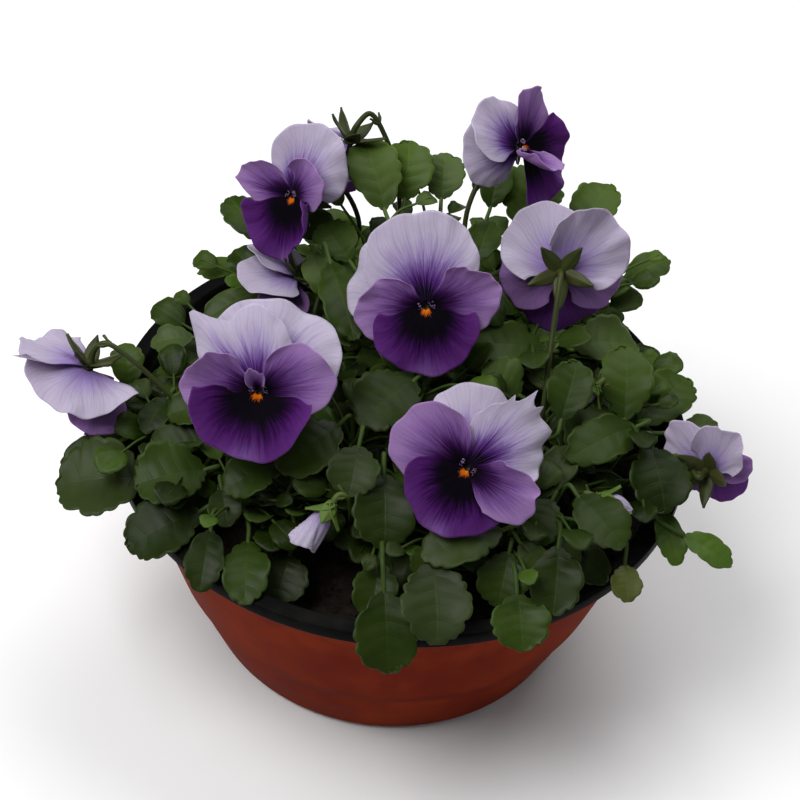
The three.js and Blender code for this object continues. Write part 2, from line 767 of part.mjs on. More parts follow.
// A solid turned about the upright axis from a profile of radii and heights.
function turned(profile) {
  const points = profile.map(([radius, z]) => new THREE.Vector2(radius, z));
  return solidOf(new THREE.LatheGeometry(points, BOWL.segments).rotateX(Math.PI / 2));
}

// The inside of the bowl from its floor to its rim, moved in from the wall by some distance.
function insideProfile(moved) {
  const wall = BOWL.wall + moved;
  const outline = BOWL.outline;
  return [
    [0, BOWL.floor + moved],
    [outline[1][0] - wall, BOWL.floor + moved],
    ...[outline[2], outline[5]].map(([radius, z]) => [radius - wall, z]),
  ];
}

function bowlSolid() {
  const [wallTop] = BOWL.outline[BOWL.outline.length - 1];
  const under = BOWL.height - BOWL.rimLip;
  return turned([
    [0, 0],
    ...BOWL.outline,
    [BOWL.rimRadius, under],
    [BOWL.rimRadius, BOWL.height],
    [BOWL.rimInner, BOWL.height],
    [BOWL.rimInner - 1, BOWL.height - 3],
    [wallTop - BOWL.wall, under - 3],
    ...insideProfile(0).reverse(),
  ]);
}

function soilSolid(holes) {
  const inside = insideProfile(CLEAR);
  const [radius] = inside[inside.length - 1];
  const profile = [
    ...inside,
    [radius + 0.8, SOIL.edge],
    [radius * 0.5, soilAt(radius * 0.5, 0)],
    [0, SOIL.middle],
  ];
  return holes.reduce((soil, hole) => soil.subtract(hole), turned(profile));
}

// A plain upright hole that a stem stands in.
function stemHole([x, y], radius) {
  const height = SOIL.planted + CLEAR + HOLE.above;
  const geometry = new THREE.CylinderGeometry(radius, radius, height, HOLE.sides);
  geometry.rotateX(Math.PI / 2).translate(x, y, soilAt(x, y) + HOLE.above - height / 2);
  return solidOf(geometry);
}

function meshOf(name, colour, roughness, solid) {
  const material = new THREE.MeshStandardMaterial({ color: colour, roughness, metalness: 0 });
  const mesh = new THREE.Mesh(geometryOf(solid), material);
  mesh.name = name;
  return mesh;
}

const holes = [
  ...SHOOTS.map((spec) => stemHole(spec.foot, STEM.radius + HOLE.clear)),
  ...[...BLOOMS, ...BUDS].map((spec) => stemHole(spec.foot, STALK.radius + HOLE.clear)),
];
const bowl = bowlSolid();
const soil = soilSolid(holes);

for (const shoot of shoots) {
  const others = [
    bowl,
    soil,
    ...blooms.map((part) => part.solid),
    ...shoots.filter((other) => other !== shoot).flatMap((other) => other.pieces),
  ];
  for (const leaf of shoot.leaves) {
    const give = gives.find((option) => {
      const whole = leafSolid(shoot, leaf, option, CLEAR, true);
      const blade = leafSolid(shoot, leaf, option, CLEAR, false);
      const free = !others.some((other) => meets(whole, other));
      return free && !shoot.blades.some((own) => meets(blade, own));
    });
    if (!give) continue;
    shoot.pieces.push(leafSolid(shoot, leaf, give, 0, true));
    shoot.blades.push(leafSolid(shoot, leaf, give, 0, false));
  }
}

const planter = new THREE.Group();
planter.add(meshOf("bowl", COLOURS.clay, 0.5, bowl));
planter.add(meshOf("soil", COLOURS.soil, 1, soil));
for (const shoot of shoots) {
  planter.add(meshOf("shoot_" + shoot.name, COLOURS.leaf, 0.6, mainBody(joined(shoot.pieces))));
}
for (const part of blooms) planter.add(meshOf(part.name, part.colour, 0.7, part.solid));

export default planter;
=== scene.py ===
# %% [markdown]
# # A bowl of pansies
# This notebook dresses a potted pansy planter: a round plastic bowl of soil, with leafy stems,
# blooms and buds growing out of it. The plain solids of every piece come in first, as a frame that
# fixes where each thing is, and each is then replaced by a finer piece of the same form.

# %% Load the frame
import json
import math

import bmesh
import bpy
import numpy as np
from mathutils import Matrix, Vector, noise
from mathutils.bvhtree import BVHTree

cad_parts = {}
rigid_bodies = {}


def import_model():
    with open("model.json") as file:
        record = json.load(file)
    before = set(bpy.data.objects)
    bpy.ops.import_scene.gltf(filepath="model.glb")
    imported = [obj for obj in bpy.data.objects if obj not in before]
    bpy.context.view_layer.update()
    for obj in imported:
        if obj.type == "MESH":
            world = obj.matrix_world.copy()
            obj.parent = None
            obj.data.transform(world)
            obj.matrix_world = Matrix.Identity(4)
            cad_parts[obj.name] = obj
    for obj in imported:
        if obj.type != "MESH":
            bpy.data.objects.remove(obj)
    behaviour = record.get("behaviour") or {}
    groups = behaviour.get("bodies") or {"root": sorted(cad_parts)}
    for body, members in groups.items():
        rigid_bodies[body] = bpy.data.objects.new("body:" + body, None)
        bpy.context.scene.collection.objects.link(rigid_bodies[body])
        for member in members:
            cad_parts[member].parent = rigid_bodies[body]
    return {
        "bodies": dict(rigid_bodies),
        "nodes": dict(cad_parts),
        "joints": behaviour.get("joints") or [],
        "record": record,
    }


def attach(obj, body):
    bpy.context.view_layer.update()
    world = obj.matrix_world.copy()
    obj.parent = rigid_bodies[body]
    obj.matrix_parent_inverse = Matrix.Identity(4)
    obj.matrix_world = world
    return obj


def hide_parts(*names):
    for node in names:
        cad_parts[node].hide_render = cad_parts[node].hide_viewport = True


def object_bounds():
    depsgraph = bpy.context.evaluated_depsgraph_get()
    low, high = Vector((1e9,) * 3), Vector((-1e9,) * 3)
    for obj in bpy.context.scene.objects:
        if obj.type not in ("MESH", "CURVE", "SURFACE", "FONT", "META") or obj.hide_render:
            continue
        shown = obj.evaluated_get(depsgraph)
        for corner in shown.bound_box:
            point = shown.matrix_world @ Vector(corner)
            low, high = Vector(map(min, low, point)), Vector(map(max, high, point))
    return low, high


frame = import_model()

cad_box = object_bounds()
print("nodes", len(frame["nodes"]), "box", [round(v, 4) for corner in cad_box for v in corner])

# %% [markdown]
# ## The camera
# The photograph looks down on the bowl from the front at about 43 degrees, from close by, with the
# camera turned a little, so that the right side sits lower. A long lens from 0.8 m gives the same
# perspective. The three directions of the camera are worked out from those angles.

# %% Place the camera
MM = 0.001  # the tables of the plant below are in millimetres
VIEW = {"target": (-1.3, 0.0, 122.9), "distance": 800.0, "elevation": 43.0, "roll": 5.0, "lens": 83.2}


def set_camera(view):
    elevation = math.radians(view["elevation"])
    roll = math.radians(view["roll"])
    back = Vector((0, -math.cos(elevation), math.sin(elevation)))
    level_up = Vector((0, math.sin(elevation), math.cos(elevation)))
    level_right = Vector((1, 0, 0))
    right = level_right * math.cos(roll) + level_up * math.sin(roll)
    up = level_up * math.cos(roll) - level_right * math.sin(roll)
    data = bpy.data.cameras.new("camera")
    data.lens = view["lens"]
    data.sensor_width = 36.0
    camera = bpy.data.objects.new("camera", data)
    turn = Matrix((right, up, back)).transposed().to_4x4()
    place = (Vector(view["target"]) + back * view["distance"]) * MM
    camera.matrix_world = Matrix.Translation(place) @ turn
    bpy.context.scene.collection.objects.link(camera)
    bpy.context.scene.camera = camera
    return camera


camera = set_camera(VIEW)
print("camera at", [round(v, 3) for v in camera.matrix_world.translation])

# %% [markdown]
# ## Short ways to write a material
# Every finish below is a tree of nodes: a few masks worked out from positions on the piece, and
# colours mixed by those masks. These helpers add one node each and return its output, so that a
# material reads like a sum. A value may be a number or another node's output.

# %% Node helpers
def add_node(tree, kind, settings=(), **inputs):
    """One node of a tree. i0 names an input by its number, and Profile_Curve one by its name."""
    made = tree.nodes.new(kind)
    for key, value in dict(settings).items():
        setattr(made, key, value)
    for key, value in inputs.items():
        socket = made.inputs[int(key[1:]) if key[1:].isdigit() else key.replace("_", " ")]
        if isinstance(value, bpy.types.NodeSocket):
            tree.links.new(value, socket)
        else:
            socket.default_value = value
    return made


class Finish:
    """A material that is written as a sum of nodes around one Principled shader."""

    def __init__(self, name, roughness, **constants):
        self.material = bpy.data.materials.new(name)
        self.material.use_nodes = True
        self.tree = self.material.node_tree
        self.shader = self.tree.nodes["Principled BSDF"]
        self.shader.inputs["Roughness"].default_value = roughness
        for socket, value in constants.items():
            self.shader.inputs[socket.replace("_", " ")].default_value = value

    def node(self, kind, settings=(), **inputs):
        return add_node(self.tree, kind, settings, **inputs)

    def math(self, operation, a, b=0.0):
        return self.node("ShaderNodeMath", {"operation": operation}, i0=a, i1=b).outputs[0]

    def times(self, a, b):
        return self.math("MULTIPLY", a, b)

    def plus(self, a, b):
        return self.math("ADD", a, b)

    def minus(self, a, b):
        return self.math("SUBTRACT", a, b)

    def step(self, value, low, high, to_low=0.0, to_high=1.0):
        settings = {"interpolation_type": "SMOOTHSTEP"}
        made = self.node("ShaderNodeMapRange", settings, i0=value, i1=low, i2=high, i3=to_low, i4=to_high)
        return made.outputs[0]

    def mix(self, factor, a, b, blend="MIX"):
        a, b = ((*colour, 1.0) if isinstance(colour, tuple) else colour for colour in (a, b))
        settings = {"data_type": "RGBA", "blend_type": blend}
        return self.node("ShaderNodeMix", settings, i0=factor, i6=a, i7=b).outputs[2]

    def position(self):
        return self.node("ShaderNodeTexCoord").outputs["Object"]

    def attribute(self, name):
        made = self.node("ShaderNodeAttribute", {"attribute_name": name})
        split = self.node("ShaderNodeSeparateXYZ", i0=made.outputs["Vector"])
        return split.outputs[0], split.outputs[1], split.outputs[2]

    def vector(self, x, y, z):
        return self.node("ShaderNodeCombineXYZ", i0=x, i1=y, i2=z).outputs[0]

    def noise(self, scale, detail=2.0, vector=None, roughness=0.5):
        made = self.node("ShaderNodeTexNoise", Vector=vector or self.position(), Scale=scale,
                         Detail=detail, Roughness=roughness)
        return made.outputs["Fac"]

    def bump(self, height, strength, distance):
        made = self.node("ShaderNodeBump", Height=height, Strength=strength, Distance=distance)
        self.tree.links.new(made.outputs["Normal"], self.shader.inputs["Normal"])

    def colour(self, value):
        self.tree.links.new(value, self.shader.inputs["Base Color"])

    def rough(self, value):
        self.tree.links.new(value, self.shader.inputs["Roughness"])


print("helpers ready")

# %% [markdown]
# ## Making a mesh from arrays
# Most pieces are worked out with numpy, as points in millimetres and the faces between them. These
# helpers make them objects of the scene. What a material needs to know about a point goes with it
# as attributes: `blade` holds its place on a blade, and `tone` what differs from blade to blade.

# %% Mesh helpers
def placed(name, mesh):
    """An object in the scene for a mesh."""
    made = bpy.data.objects.new(name, mesh)
    bpy.context.scene.collection.objects.link(made)
    return made


def plain_mesh(name, points, faces=(), edges=()):
    """A mesh from points in millimetres."""
    mesh = bpy.data.meshes.new(name)
    faces = faces.tolist() if isinstance(faces, np.ndarray) else list(faces)
    mesh.from_pydata((np.asarray(points, float) * MM).tolist(), list(edges), faces)
    mesh.polygons.foreach_set("use_smooth", [True] * len(mesh.polygons))
    return mesh


def store(mesh, label, values, kind="FLOAT_VECTOR"):
    """Keeps a vector, or a value of another kind, for each point of a mesh."""
    field = "vector" if kind == "FLOAT_VECTOR" else "value"
    values = np.ascontiguousarray(values, np.int32 if kind == "INT" else np.float32)
    mesh.attributes.new(label, kind, "POINT").data.foreach_set(field, values.ravel())


def mesh_object(name, points, faces, blades, tones, material):
    mesh = plain_mesh(name, points, faces)
    store(mesh, "blade", blades)
    store(mesh, "tone", tones)
    mesh.materials.append(material)
    return placed(name, mesh)


def join_objects(name, objects):
    """Several objects as one, which keeps the first one's material first."""
    with bpy.context.temp_override(active_object=objects[0], selected_editable_objects=objects):
        bpy.ops.object.join()
    objects[0].name = objects[0].data.name = name
    return objects[0]


def face_outwards(piece):
    """Turns every face of a closed piece so that its front looks out."""
    shape = bmesh.new()
    shape.from_mesh(piece.data)
    bmesh.ops.recalc_face_normals(shape, faces=shape.faces)
    shape.to_mesh(piece.data)
    shape.free()


def finish_piece(piece, slot, *nodes):
    """Binds a finished piece to the body and hides the solids that it stands for. Its slot is not used."""
    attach(piece, "root")
    if nodes:
        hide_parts(*nodes)
    return piece


print("mesh helpers ready")

# %% [markdown]
# ## Thin sheets
# Leaves, petals and sepals are thin curved sheets. Each is laid out as a grid of points on its
# middle surface. Cloth or card would be cut and bent; here the grid gets two faces and a rim, half
# its thickness to each side, and becomes one closed shell.

# %% Shells
def crossed(along, across):
    """Two arrays that hold, for each point of a grid, its place along and across."""
    return np.meshgrid(along, across, indexing="ij")


def quads(number):
    """The four-sided faces between the numbered points of a grid."""
    corners = number[:-1, :-1], number[1:, :-1], number[1:, 1:], number[:-1, 1:]
    return np.stack([corner.ravel() for corner in corners], 1)


def shell_of(points, thickness, blade, tone):
    """A closed thin shell round a grid of points, as arrays of points, faces, blade and tone."""
    rows, columns = points.shape[:2]
    normals = np.cross(np.gradient(points, axis=0), np.gradient(points, axis=1))
    normals = normals / np.maximum(np.linalg.norm(normals, axis=2, keepdims=True), 1e-9)
    out = normals * (0.5 * np.broadcast_to(thickness, (rows, columns))[..., None])
    count = rows * columns
    number = np.arange(count).reshape(rows, columns)
    upper = quads(number)
    ring = np.concatenate([number[:, 0], number[-1, 1:], number[-2::-1, -1], number[0, -2:0:-1]])
    after = np.roll(ring, -1)
    faces = [upper, upper[:, [0, 3, 2, 1]] + count,
             np.stack([after, ring, ring + count, after + count], 1)]
    both = [np.concatenate([part.reshape(-1, 3)] * 2) for part in (blade, tone)]
    both[1][count:, 1] = 1.0  # the underside
    sides = [(points + out).reshape(-1, 3), (points - out).reshape(-1, 3)]
    return np.concatenate(sides), np.concatenate(faces), *both


def join_shells(shells):
    """Several shells as one set of arrays."""
    starts = np.cumsum([0] + [len(shell[0]) for shell in shells])
    faces = np.concatenate([shell[1] + start for shell, start in zip(shells, starts)])
    points, blades, tones = (np.concatenate([shell[k] for shell in shells]) for k in (0, 2, 3))
    return points, faces, blades, tones


print("sheets can be made solid")

# %% [markdown]
# ## Growing a piece from a recipe
# What repeats, or follows a path, is grown by a geometry tree. Each tree here starts with named
# inputs for its sizes and ends in plain faces with one finish. It runs once, on a mesh that holds
# its points, and what it grew is kept as a plain mesh, so that no modifier stays on the piece.

# %% Recipes
class Recipe:
    """A geometry tree that is written as one call for each node."""

    def __init__(self, name, sizes):
        self.tree = bpy.data.node_groups.new(name, "GeometryNodeTree")
        self.keys = []
        for label, kind in {"Geometry": "Geometry", **sizes, "Finish": "Material"}.items():
            socket = self.tree.interface.new_socket(label, in_out="INPUT", socket_type="NodeSocket" + kind)
            self.keys.append(socket.identifier)
        self.tree.interface.new_socket("Geometry", in_out="OUTPUT", socket_type="NodeSocketGeometry")
        self.given = self.node("NodeGroupInput")

    def node(self, kind, settings=(), **inputs):
        return add_node(self.tree, kind, settings, **inputs).outputs

    def named(self, label, kind):
        return self.node("GeometryNodeInputNamedAttribute", {"data_type": kind}, Name=label)["Attribute"]

    def finish(self, geometry, smooth=True):
        if smooth:
            geometry = self.node("GeometryNodeSetShadeSmooth", Geometry=geometry)[0]
        real = self.node("GeometryNodeRealizeInstances", Geometry=geometry)
        paint = self.node("GeometryNodeSetMaterial", Geometry=real[0], Material=self.given["Finish"])
        self.node("NodeGroupOutput", Geometry=paint[0])
        return self

    def grow(self, name, mesh, *values):
        """What the tree makes of a mesh, with these values for its sizes and its finish."""
        holder = placed(name, mesh)
        modifier = holder.modifiers.new("recipe", "NODES")
        modifier.node_group = self.tree
        for key, value in zip(self.keys[1:], values):
            modifier[key] = value
        bpy.context.view_layer.update()
        ready = holder.evaluated_get(bpy.context.evaluated_depsgraph_get())
        grown = bpy.data.meshes.new_from_object(ready)
        bpy.data.objects.remove(holder)
        if not mesh.users:
            bpy.data.meshes.remove(mesh)
        grown.name = name
        return placed(name, grown)


print("recipes can be written")

# %% [markdown]
# ## Sweeping a stem along a path
# A stem, a leaf stalk and a flower stalk are all the same thing: a round section carried along a
# path, thinner towards the end. One tree does this for a whole set of paths at once. It turns
# loose edges into curves, reads each point's thickness from an attribute, and sweeps a circle.

# %% The sweep
def sweep_recipe():
    recipe = Recipe("sweep", {"Sides": "Int"})
    curve = recipe.node("GeometryNodeMeshToCurve", Mesh=recipe.given["Geometry"])
    circle = recipe.node("GeometryNodeCurvePrimitiveCircle", Resolution=recipe.given["Sides"], Radius=1.0)
    rods = recipe.node("GeometryNodeCurveToMesh", Curve=curve[0], Profile_Curve=circle[0], Fill_Caps=True,
                       Scale=recipe.named("thick", "FLOAT"))
    return recipe.finish(rods[0])


SWEEP = sweep_recipe()


def swept(name, paths, sides, material):
    """One mesh of round rods. Each path is (points, radii, blade, tone) in millimetres."""
    points, radii, blades, tones = (np.concatenate(part) for part in zip(*paths))
    starts = np.cumsum([0] + [len(path[0]) for path in paths])
    edges = [(k, k + 1) for start, stop in zip(starts, starts[1:]) for k in range(start, stop - 1)]
    mesh = plain_mesh(name, points, edges=edges)
    store(mesh, "thick", radii * MM, "FLOAT")
    store(mesh, "blade", blades)
    store(mesh, "tone", tones)
    return SWEEP.grow(name, mesh, sides, material)


print("the sweep has", len(SWEEP.tree.nodes), "nodes")

# %% [markdown]
# ## How blades and stems are shaped
# A blade, whether of a leaf or a petal, is drawn flat first: a distance along it and a distance
# across. Then it is bent like a strip of card round a big roller. A stem is a smooth line through a
# few points. These functions do both, for whole arrays of points at once.

# %% Blades and paths
SOIL = {"edge": 96.0, "middle": 100.0, "radius": 117.5}
SEEDS = {"shade leaf": (211, 37), "leafy stem": (500, 61), "bloom": (900, 47), "bud": (3100, 53),
         "leaf kind": (4001, 97), "young leaves": (7001, 89)}
SIDES = {"stem": 8, "stalk": 10, "hair": 3, "young stalk": 5}


def unit(v):
    v = np.asarray(v, float)
    return v / np.linalg.norm(v)


def spun(v, axis, degrees):
    angle = math.radians(degrees)
    flat = v * math.cos(angle) + np.cross(axis, v) * math.sin(angle)
    return flat + axis * np.dot(axis, v) * (1 - math.cos(angle))


def axes_of(along, facing):
    axis = unit(along)
    out = unit(np.asarray(facing, float) - axis * np.dot(facing, axis))
    return {"axis": axis, "across": np.cross(out, axis), "out": out}


def bent(frame, shape, s, y, lift=0.0):
    """Carries a flat outline onto a blade that bends along its length."""
    start = math.radians(shape["tilt"])
    turn = math.radians(shape["bend"] or 0.01)
    angle = start + turn * s / shape["length"]
    radius = shape["length"] / turn
    raised = shape.get("cup", 0.0) * y * y / shape["length"] + lift
    along = radius * (np.sin(angle) - math.sin(start)) - raised * np.sin(angle)
    rise = radius * (math.cos(start) - np.cos(angle)) + raised * np.cos(angle)
    parts = ((along, "axis"), (y, "across"), (rise, "out"))
    return frame["origin"] + sum(np.asarray(size)[..., None] * frame[way] for size, way in parts)


def smooth_path(points, steps):
    """A smooth line through points, with so many pieces between each two of them."""
    points = [np.asarray(p, float) for p in points]
    chain = [2 * points[0] - points[1], *points, 2 * points[-1] - points[-2]]
    line = []
    for a, b, c, d in zip(chain, chain[1:], chain[2:], chain[3:]):
        gap0, gap1, gap2 = (np.linalg.norm(q - p) ** 0.5 for p, q in ((a, b), (b, c), (c, d)))
        leave = ((b - a) / gap0 - (c - a) / (gap0 + gap1) + (c - b) / gap1) * gap1
        arrive = ((c - b) / gap1 - (d - b) / (gap1 + gap2) + (d - c) / gap2) * gap1
        for t in np.arange(steps) / steps:
            swing = 3 * (c - b) - 2 * leave - arrive
            line.append(b + leave * t + swing * t * t + (2 * (b - c) + leave + arrive) * t ** 3)
    return np.array([*line, points[-1]])


def soil_at(x, y):
    share = math.hypot(x, y) / SOIL["radius"]
    return SOIL["middle"] - (SOIL["middle"] - SOIL["edge"]) * share * share


def rising_path(foot, points, steps):
    """Straight up out of the soil, then through the given points."""
    x, y = foot
    ground = soil_at(x, y)
    line = smooth_path([(x, y, ground + 2), (x, y, ground + 6), *points], steps)
    return np.concatenate([[(x, y, ground - 8)], line])


def draws(kind, number):
    """A repeatable run of draws between 0 and 1, of its own for each numbered piece of a kind."""
    first, step = SEEDS[kind]
    state = first + step * number
    while True:
        state = state * 48271 % 2147483647
        yield state / 2147483647


print("soil in the middle", soil_at(0, 0), "mm")

# %% [markdown]
# ## The bowl
# The real bowl is one piece of injection-moulded plastic in two colours: terracotta outside, nearly
# black inside and on its flat rim. It is round, so its shape is a profile turned about the middle.
# The profile is walked point by point, with rounded corners.

# %% Bowl profile
BOWL = {
    "height": 114.0, "rim": 125.0, "mouth": 117.5, "lip": 6.5, "wall": 2.2, "floor": 3.0,
    "outline": [(81, 0), (84, 3), (92, 24), (96, 37), (99, 41), (108.5, 74), (117, 107.5)],
    "segments": 144,
}


def rounded(corners, radius, steps=5):
    """A line through corners, each cut off by a curve of about the given radius."""
    corners = [np.asarray(c, float) for c in corners]
    line = [corners[0]]
    for before, corner, after in zip(corners, corners[1:], corners[2:]):
        reach = min(radius, 0.45 * np.linalg.norm(before - corner), 0.45 * np.linalg.norm(after - corner))
        start = corner + unit(before - corner) * reach
        stop = corner + unit(after - corner) * reach
        for t in np.linspace(0, 1, steps):
            line.append(start * (1 - t) ** 2 + corner * 2 * t * (1 - t) + stop * t * t)
    return np.array([*line, corners[-1]])


def bowl_profile(bowl):
    """From the middle of the base, up the outside, over the rim and down the inside."""
    wall, height, rim, mouth = (bowl[key] for key in ("wall", "height", "rim", "mouth"))
    outer, under = bowl["outline"], height - bowl["lip"]
    base = [(0, 1.2), (70, 1.2), (73, 0), *outer]
    edge = [(outer[-1][0] + 0.6, under), (rim - 0.6, under), (rim, under + 1), (rim, height - 0.7),
            (rim - 0.7, height), (mouth + 0.9, height), (mouth, height - 1.2), (mouth - 1.2, height - 4.5)]
    inside = [*((r - wall, z) for r, z in reversed(outer[2:])), (outer[1][0] - wall, bowl["floor"]),
              (0, bowl["floor"])]
    return np.concatenate([rounded([*base, *edge[:2]], 2.5), rounded([*edge[2:], *inside], 0.8, 4)])


profile = bowl_profile(BOWL)
print("bowl profile has", len(profile), "points")

# %% [markdown]
# A second tree turns the profile: it sweeps it round a tiny circle about the middle, and welds the
# poles. A lathe would do the same in a workshop. Many segments give smooth highlights.

# %% Turning
def turning_recipe():
    recipe = Recipe("turn a profile", {"Segments": "Int"})
    section = recipe.node("GeometryNodeMeshToCurve", Mesh=recipe.given["Geometry"])
    circle = recipe.node("GeometryNodeCurvePrimitiveCircle", Resolution=recipe.given["Segments"], Radius=MM)
    wall = recipe.node("GeometryNodeCurveToMesh", Curve=circle[0], Profile_Curve=section[0])
    weld = recipe.node("GeometryNodeMergeByDistance", Geometry=wall[0], Distance=0.002 * MM)
    return recipe.finish(weld[0])


def turned(name, section, segments, material):
    """A section of radii and heights in millimetres, turned about the Z axis."""
    points = [(r - 1, -z, 0) for r, z in section]
    mesh = plain_mesh(name, points, edges=[(k, k + 1) for k in range(len(points) - 1)])
    return turning_recipe().grow(name, mesh, segments, material)


print("the profile rises from", round(profile[:, 1].min(), 1), "to", round(profile[:, 1].max(), 1), "mm")

# %% [markdown]
# The outside is a fine-grained satin plastic, which is slightly mottled and scuffed near the base,
# and painted shade darkens the soft crease low on the wall. The inside and the rim are a second,
# black plastic with a little dust. Which of the two a point is made of follows from its height, and
# from how far it lies inside the wall, so that the joint between them runs under the edge of the rim.

# %% Bowl finish and piece
CLAY = (0.120, 0.0105, 0.0028)
CLAY_LIGHT = (0.185, 0.0240, 0.0070)
BLACK = (0.0035, 0.0035, 0.0035)


def bowl_finish():
    made = Finish("terracotta and black plastic", 0.5, Specular_IOR_Level=0.008)
    place = made.node("ShaderNodeSeparateXYZ", i0=made.position())
    x, y, z = place.outputs[0], place.outputs[1], place.outputs[2]
    away = made.math("SQRT", made.plus(made.times(x, x), made.times(y, y)))
    mottled = made.noise(38.0, 5.0, roughness=0.62)
    grain = made.noise(900.0, 2.0)
    stretched = made.vector(made.times(x, 2.2), made.times(y, 2.2), made.times(z, 9.0))
    streaks = made.noise(6.0, 3.0, vector=stretched)
    clay = made.mix(made.step(mottled, 0.34, 0.72), CLAY, CLAY_LIGHT)
    clay = made.mix(made.step(streaks, 0.5, 0.78, 0.0, 0.12), clay, tuple(0.55 * c for c in CLAY))
    # painted shade: the soft crease low on the wall is darkened, as if shade lay in it
    crease_shade_low = made.step(z, 34.0 * MM, 38.5 * MM)
    crease_shade_high = made.step(z, 39.5 * MM, 46.0 * MM, 1.0, 0.0)
    crease = made.times(crease_shade_low, crease_shade_high)
    clay = made.mix(made.times(crease, 0.45), clay, tuple(0.35 * c for c in CLAY))
    scuff = made.step(made.noise(120.0, 6.0, roughness=0.75), 0.60, 0.70)
    low = made.step(z, 4.0 * MM, 34.0 * MM, 1.0, 0.12)
    scuffed = made.times(made.times(scuff, low), 0.30)
    clay = made.mix(scuffed, clay, (0.17, 0.065, 0.040))
    over_rim = made.step(z, 107.4 * MM, 108.4 * MM)
    wall_here = made.node("ShaderNodeMapRange", i0=z, i1=41.0 * MM, i2=107.5 * MM, i3=99.3 * MM,
                          i4=117.2 * MM)
    inside = made.step(made.minus(wall_here.outputs[0], away), 0.6 * MM, 1.4 * MM)
    inside = made.times(inside, made.step(z, 44.0 * MM, 46.0 * MM))
    dark = made.math("MAXIMUM", inside, over_rim)
    dust = made.step(made.noise(55.0, 4.0), 0.48, 0.75)
    black = made.mix(made.times(dust, 0.3), BLACK, (0.016, 0.015, 0.013))
    made.colour(made.mix(dark, clay, black))
    worn = made.step(mottled, 0.3, 0.8, 0.42, 0.6)
    made.rough(made.mix(dark, made.vector(worn, worn, worn), (0.36, 0.36, 0.36)))
    made.bump(made.plus(grain, made.times(mottled, 2.0)), 0.12, 0.0004)
    return made.material


bowl = turned("plastic_bowl", profile, BOWL["segments"], bowl_finish())
face_outwards(bowl)
finish_piece(bowl, "terracotta_plastic", "bowl")
print("bowl has", len(bowl.data.polygons), "faces, size", [round(v, 4) for v in bowl.dimensions])

# %% [markdown]
# ## The soil
# The bowl is filled with a dark, peaty potting soil, a little higher in the middle. Its surface is
# a disc of rings of points, raised by a few layers of noise, with a skirt that goes down inside the
# wall and a flat underside, so that it is one closed body.

# %% Soil body
def soil_height(x, y):
    rough = noise.fractal(Vector((x, y, 0.0)) * 0.085, 0.9, 2.1, 4, noise_basis="PERLIN_ORIGINAL")
    return soil_at(x, y) + 1.1 * rough - 0.4


def soil_body(radius, rings, sectors, depth):
    points, faces = [(0.0, 0.0, soil_height(0, 0))], []
    angles = [2 * math.pi * k / sectors for k in range(sectors)]
    for ring in range(1, rings + 1):
        r = radius * ring / rings
        for x, y in ((r * math.cos(angle), r * math.sin(angle)) for angle in angles):
            points.append((x, y, soil_height(x, y)))
    under, r = SOIL["edge"] - depth, radius - 3
    points += [(r * math.cos(angle), r * math.sin(angle), under) for angle in angles]
    points.append((0.0, 0.0, under))
    at = lambda ring, k: 1 + (ring - 1) * sectors + k % sectors
    for k in range(sectors):
        faces.append((0, at(1, k), at(1, k + 1)))
        faces += [(at(r, k), at(r + 1, k), at(r + 1, k + 1), at(r, k + 1)) for r in range(1, rings + 1)]
        faces.append((len(points) - 1, at(rings + 1, k + 1), at(rings + 1, k)))
    return placed("potting_soil", plain_mesh("potting_soil", points, faces))


def soil_finish():
    made = Finish("potting soil", 0.95, Specular_IOR_Level=0.1)
    tone = made.noise(140.0, 6.0, roughness=0.7)
    fleck = made.step(made.noise(620.0, 2.0), 0.70, 0.78)
    dark = made.mix(made.step(tone, 0.32, 0.72), (0.003, 0.0023, 0.0018), (0.016, 0.011, 0.0075))
    made.colour(made.mix(made.times(fleck, 0.35), dark, (0.07, 0.05, 0.035)))
    made.bump(tone, 0.6, 0.0015)
    return made.material


SOIL_FINISH = soil_finish()
soil = soil_body(radius=112.6, rings=64, sectors=160, depth=12.0)
soil.data.materials.append(SOIL_FINISH)
finish_piece(soil, "soil", "soil")
print("soil has", len(soil.data.polygons), "faces")

# %% [markdown]
# Loose crumbs of peat lie on the soil. A geometry tree scatters small lumps over its surface, each
# with a size and a turn of its own, from a fixed seed.

# %% Crumbs on the soil
def crumb_recipe():
    recipe = Recipe("crumbs", {"Crumbs per square metre": "Float", "Largest": "Float"})
    vectors = {"data_type": "FLOAT_VECTOR"}
    facing = recipe.node("ShaderNodeSeparateXYZ", i0=recipe.node("GeometryNodeInputNormal")[0])
    upward = recipe.node("FunctionNodeCompare", i0=facing[2], i1=0.6)
    spots = recipe.node("GeometryNodeDistributePointsOnFaces", Mesh=recipe.given["Geometry"],
                        Selection=upward[0], Density=recipe.given["Crumbs per square metre"], Seed=7)
    lump = recipe.node("GeometryNodeMeshIcoSphere", Radius=1.0, Subdivisions=1)
    stretch = recipe.node("FunctionNodeRandomValue", vectors, Min=(0.25, 0.3, 0.2), Max=(1.0, 1.0, 0.8),
                          Seed=3)
    size = recipe.node("ShaderNodeVectorMath", {"operation": "SCALE"}, i0=stretch[0],
                       i3=recipe.given["Largest"])
    spin = recipe.node("FunctionNodeRandomValue", vectors, Max=(6.3, 6.3, 6.3), Seed=5)
    turn = recipe.node("FunctionNodeEulerToRotation", i0=spin[0])
    lumps = recipe.node("GeometryNodeInstanceOnPoints", Points=spots[0], Instance=lump[0], Scale=size[0],
                        Rotation=turn[0])
    return recipe.finish(lumps[0], smooth=False)


density, largest = (36000.0), 1.7 * MM
crumbs = crumb_recipe().grow("soil_crumbs", soil.data, density, largest, SOIL_FINISH)
finish_piece(crumbs, "soil")
print("crumbs have", len(crumbs.data.polygons), "faces")

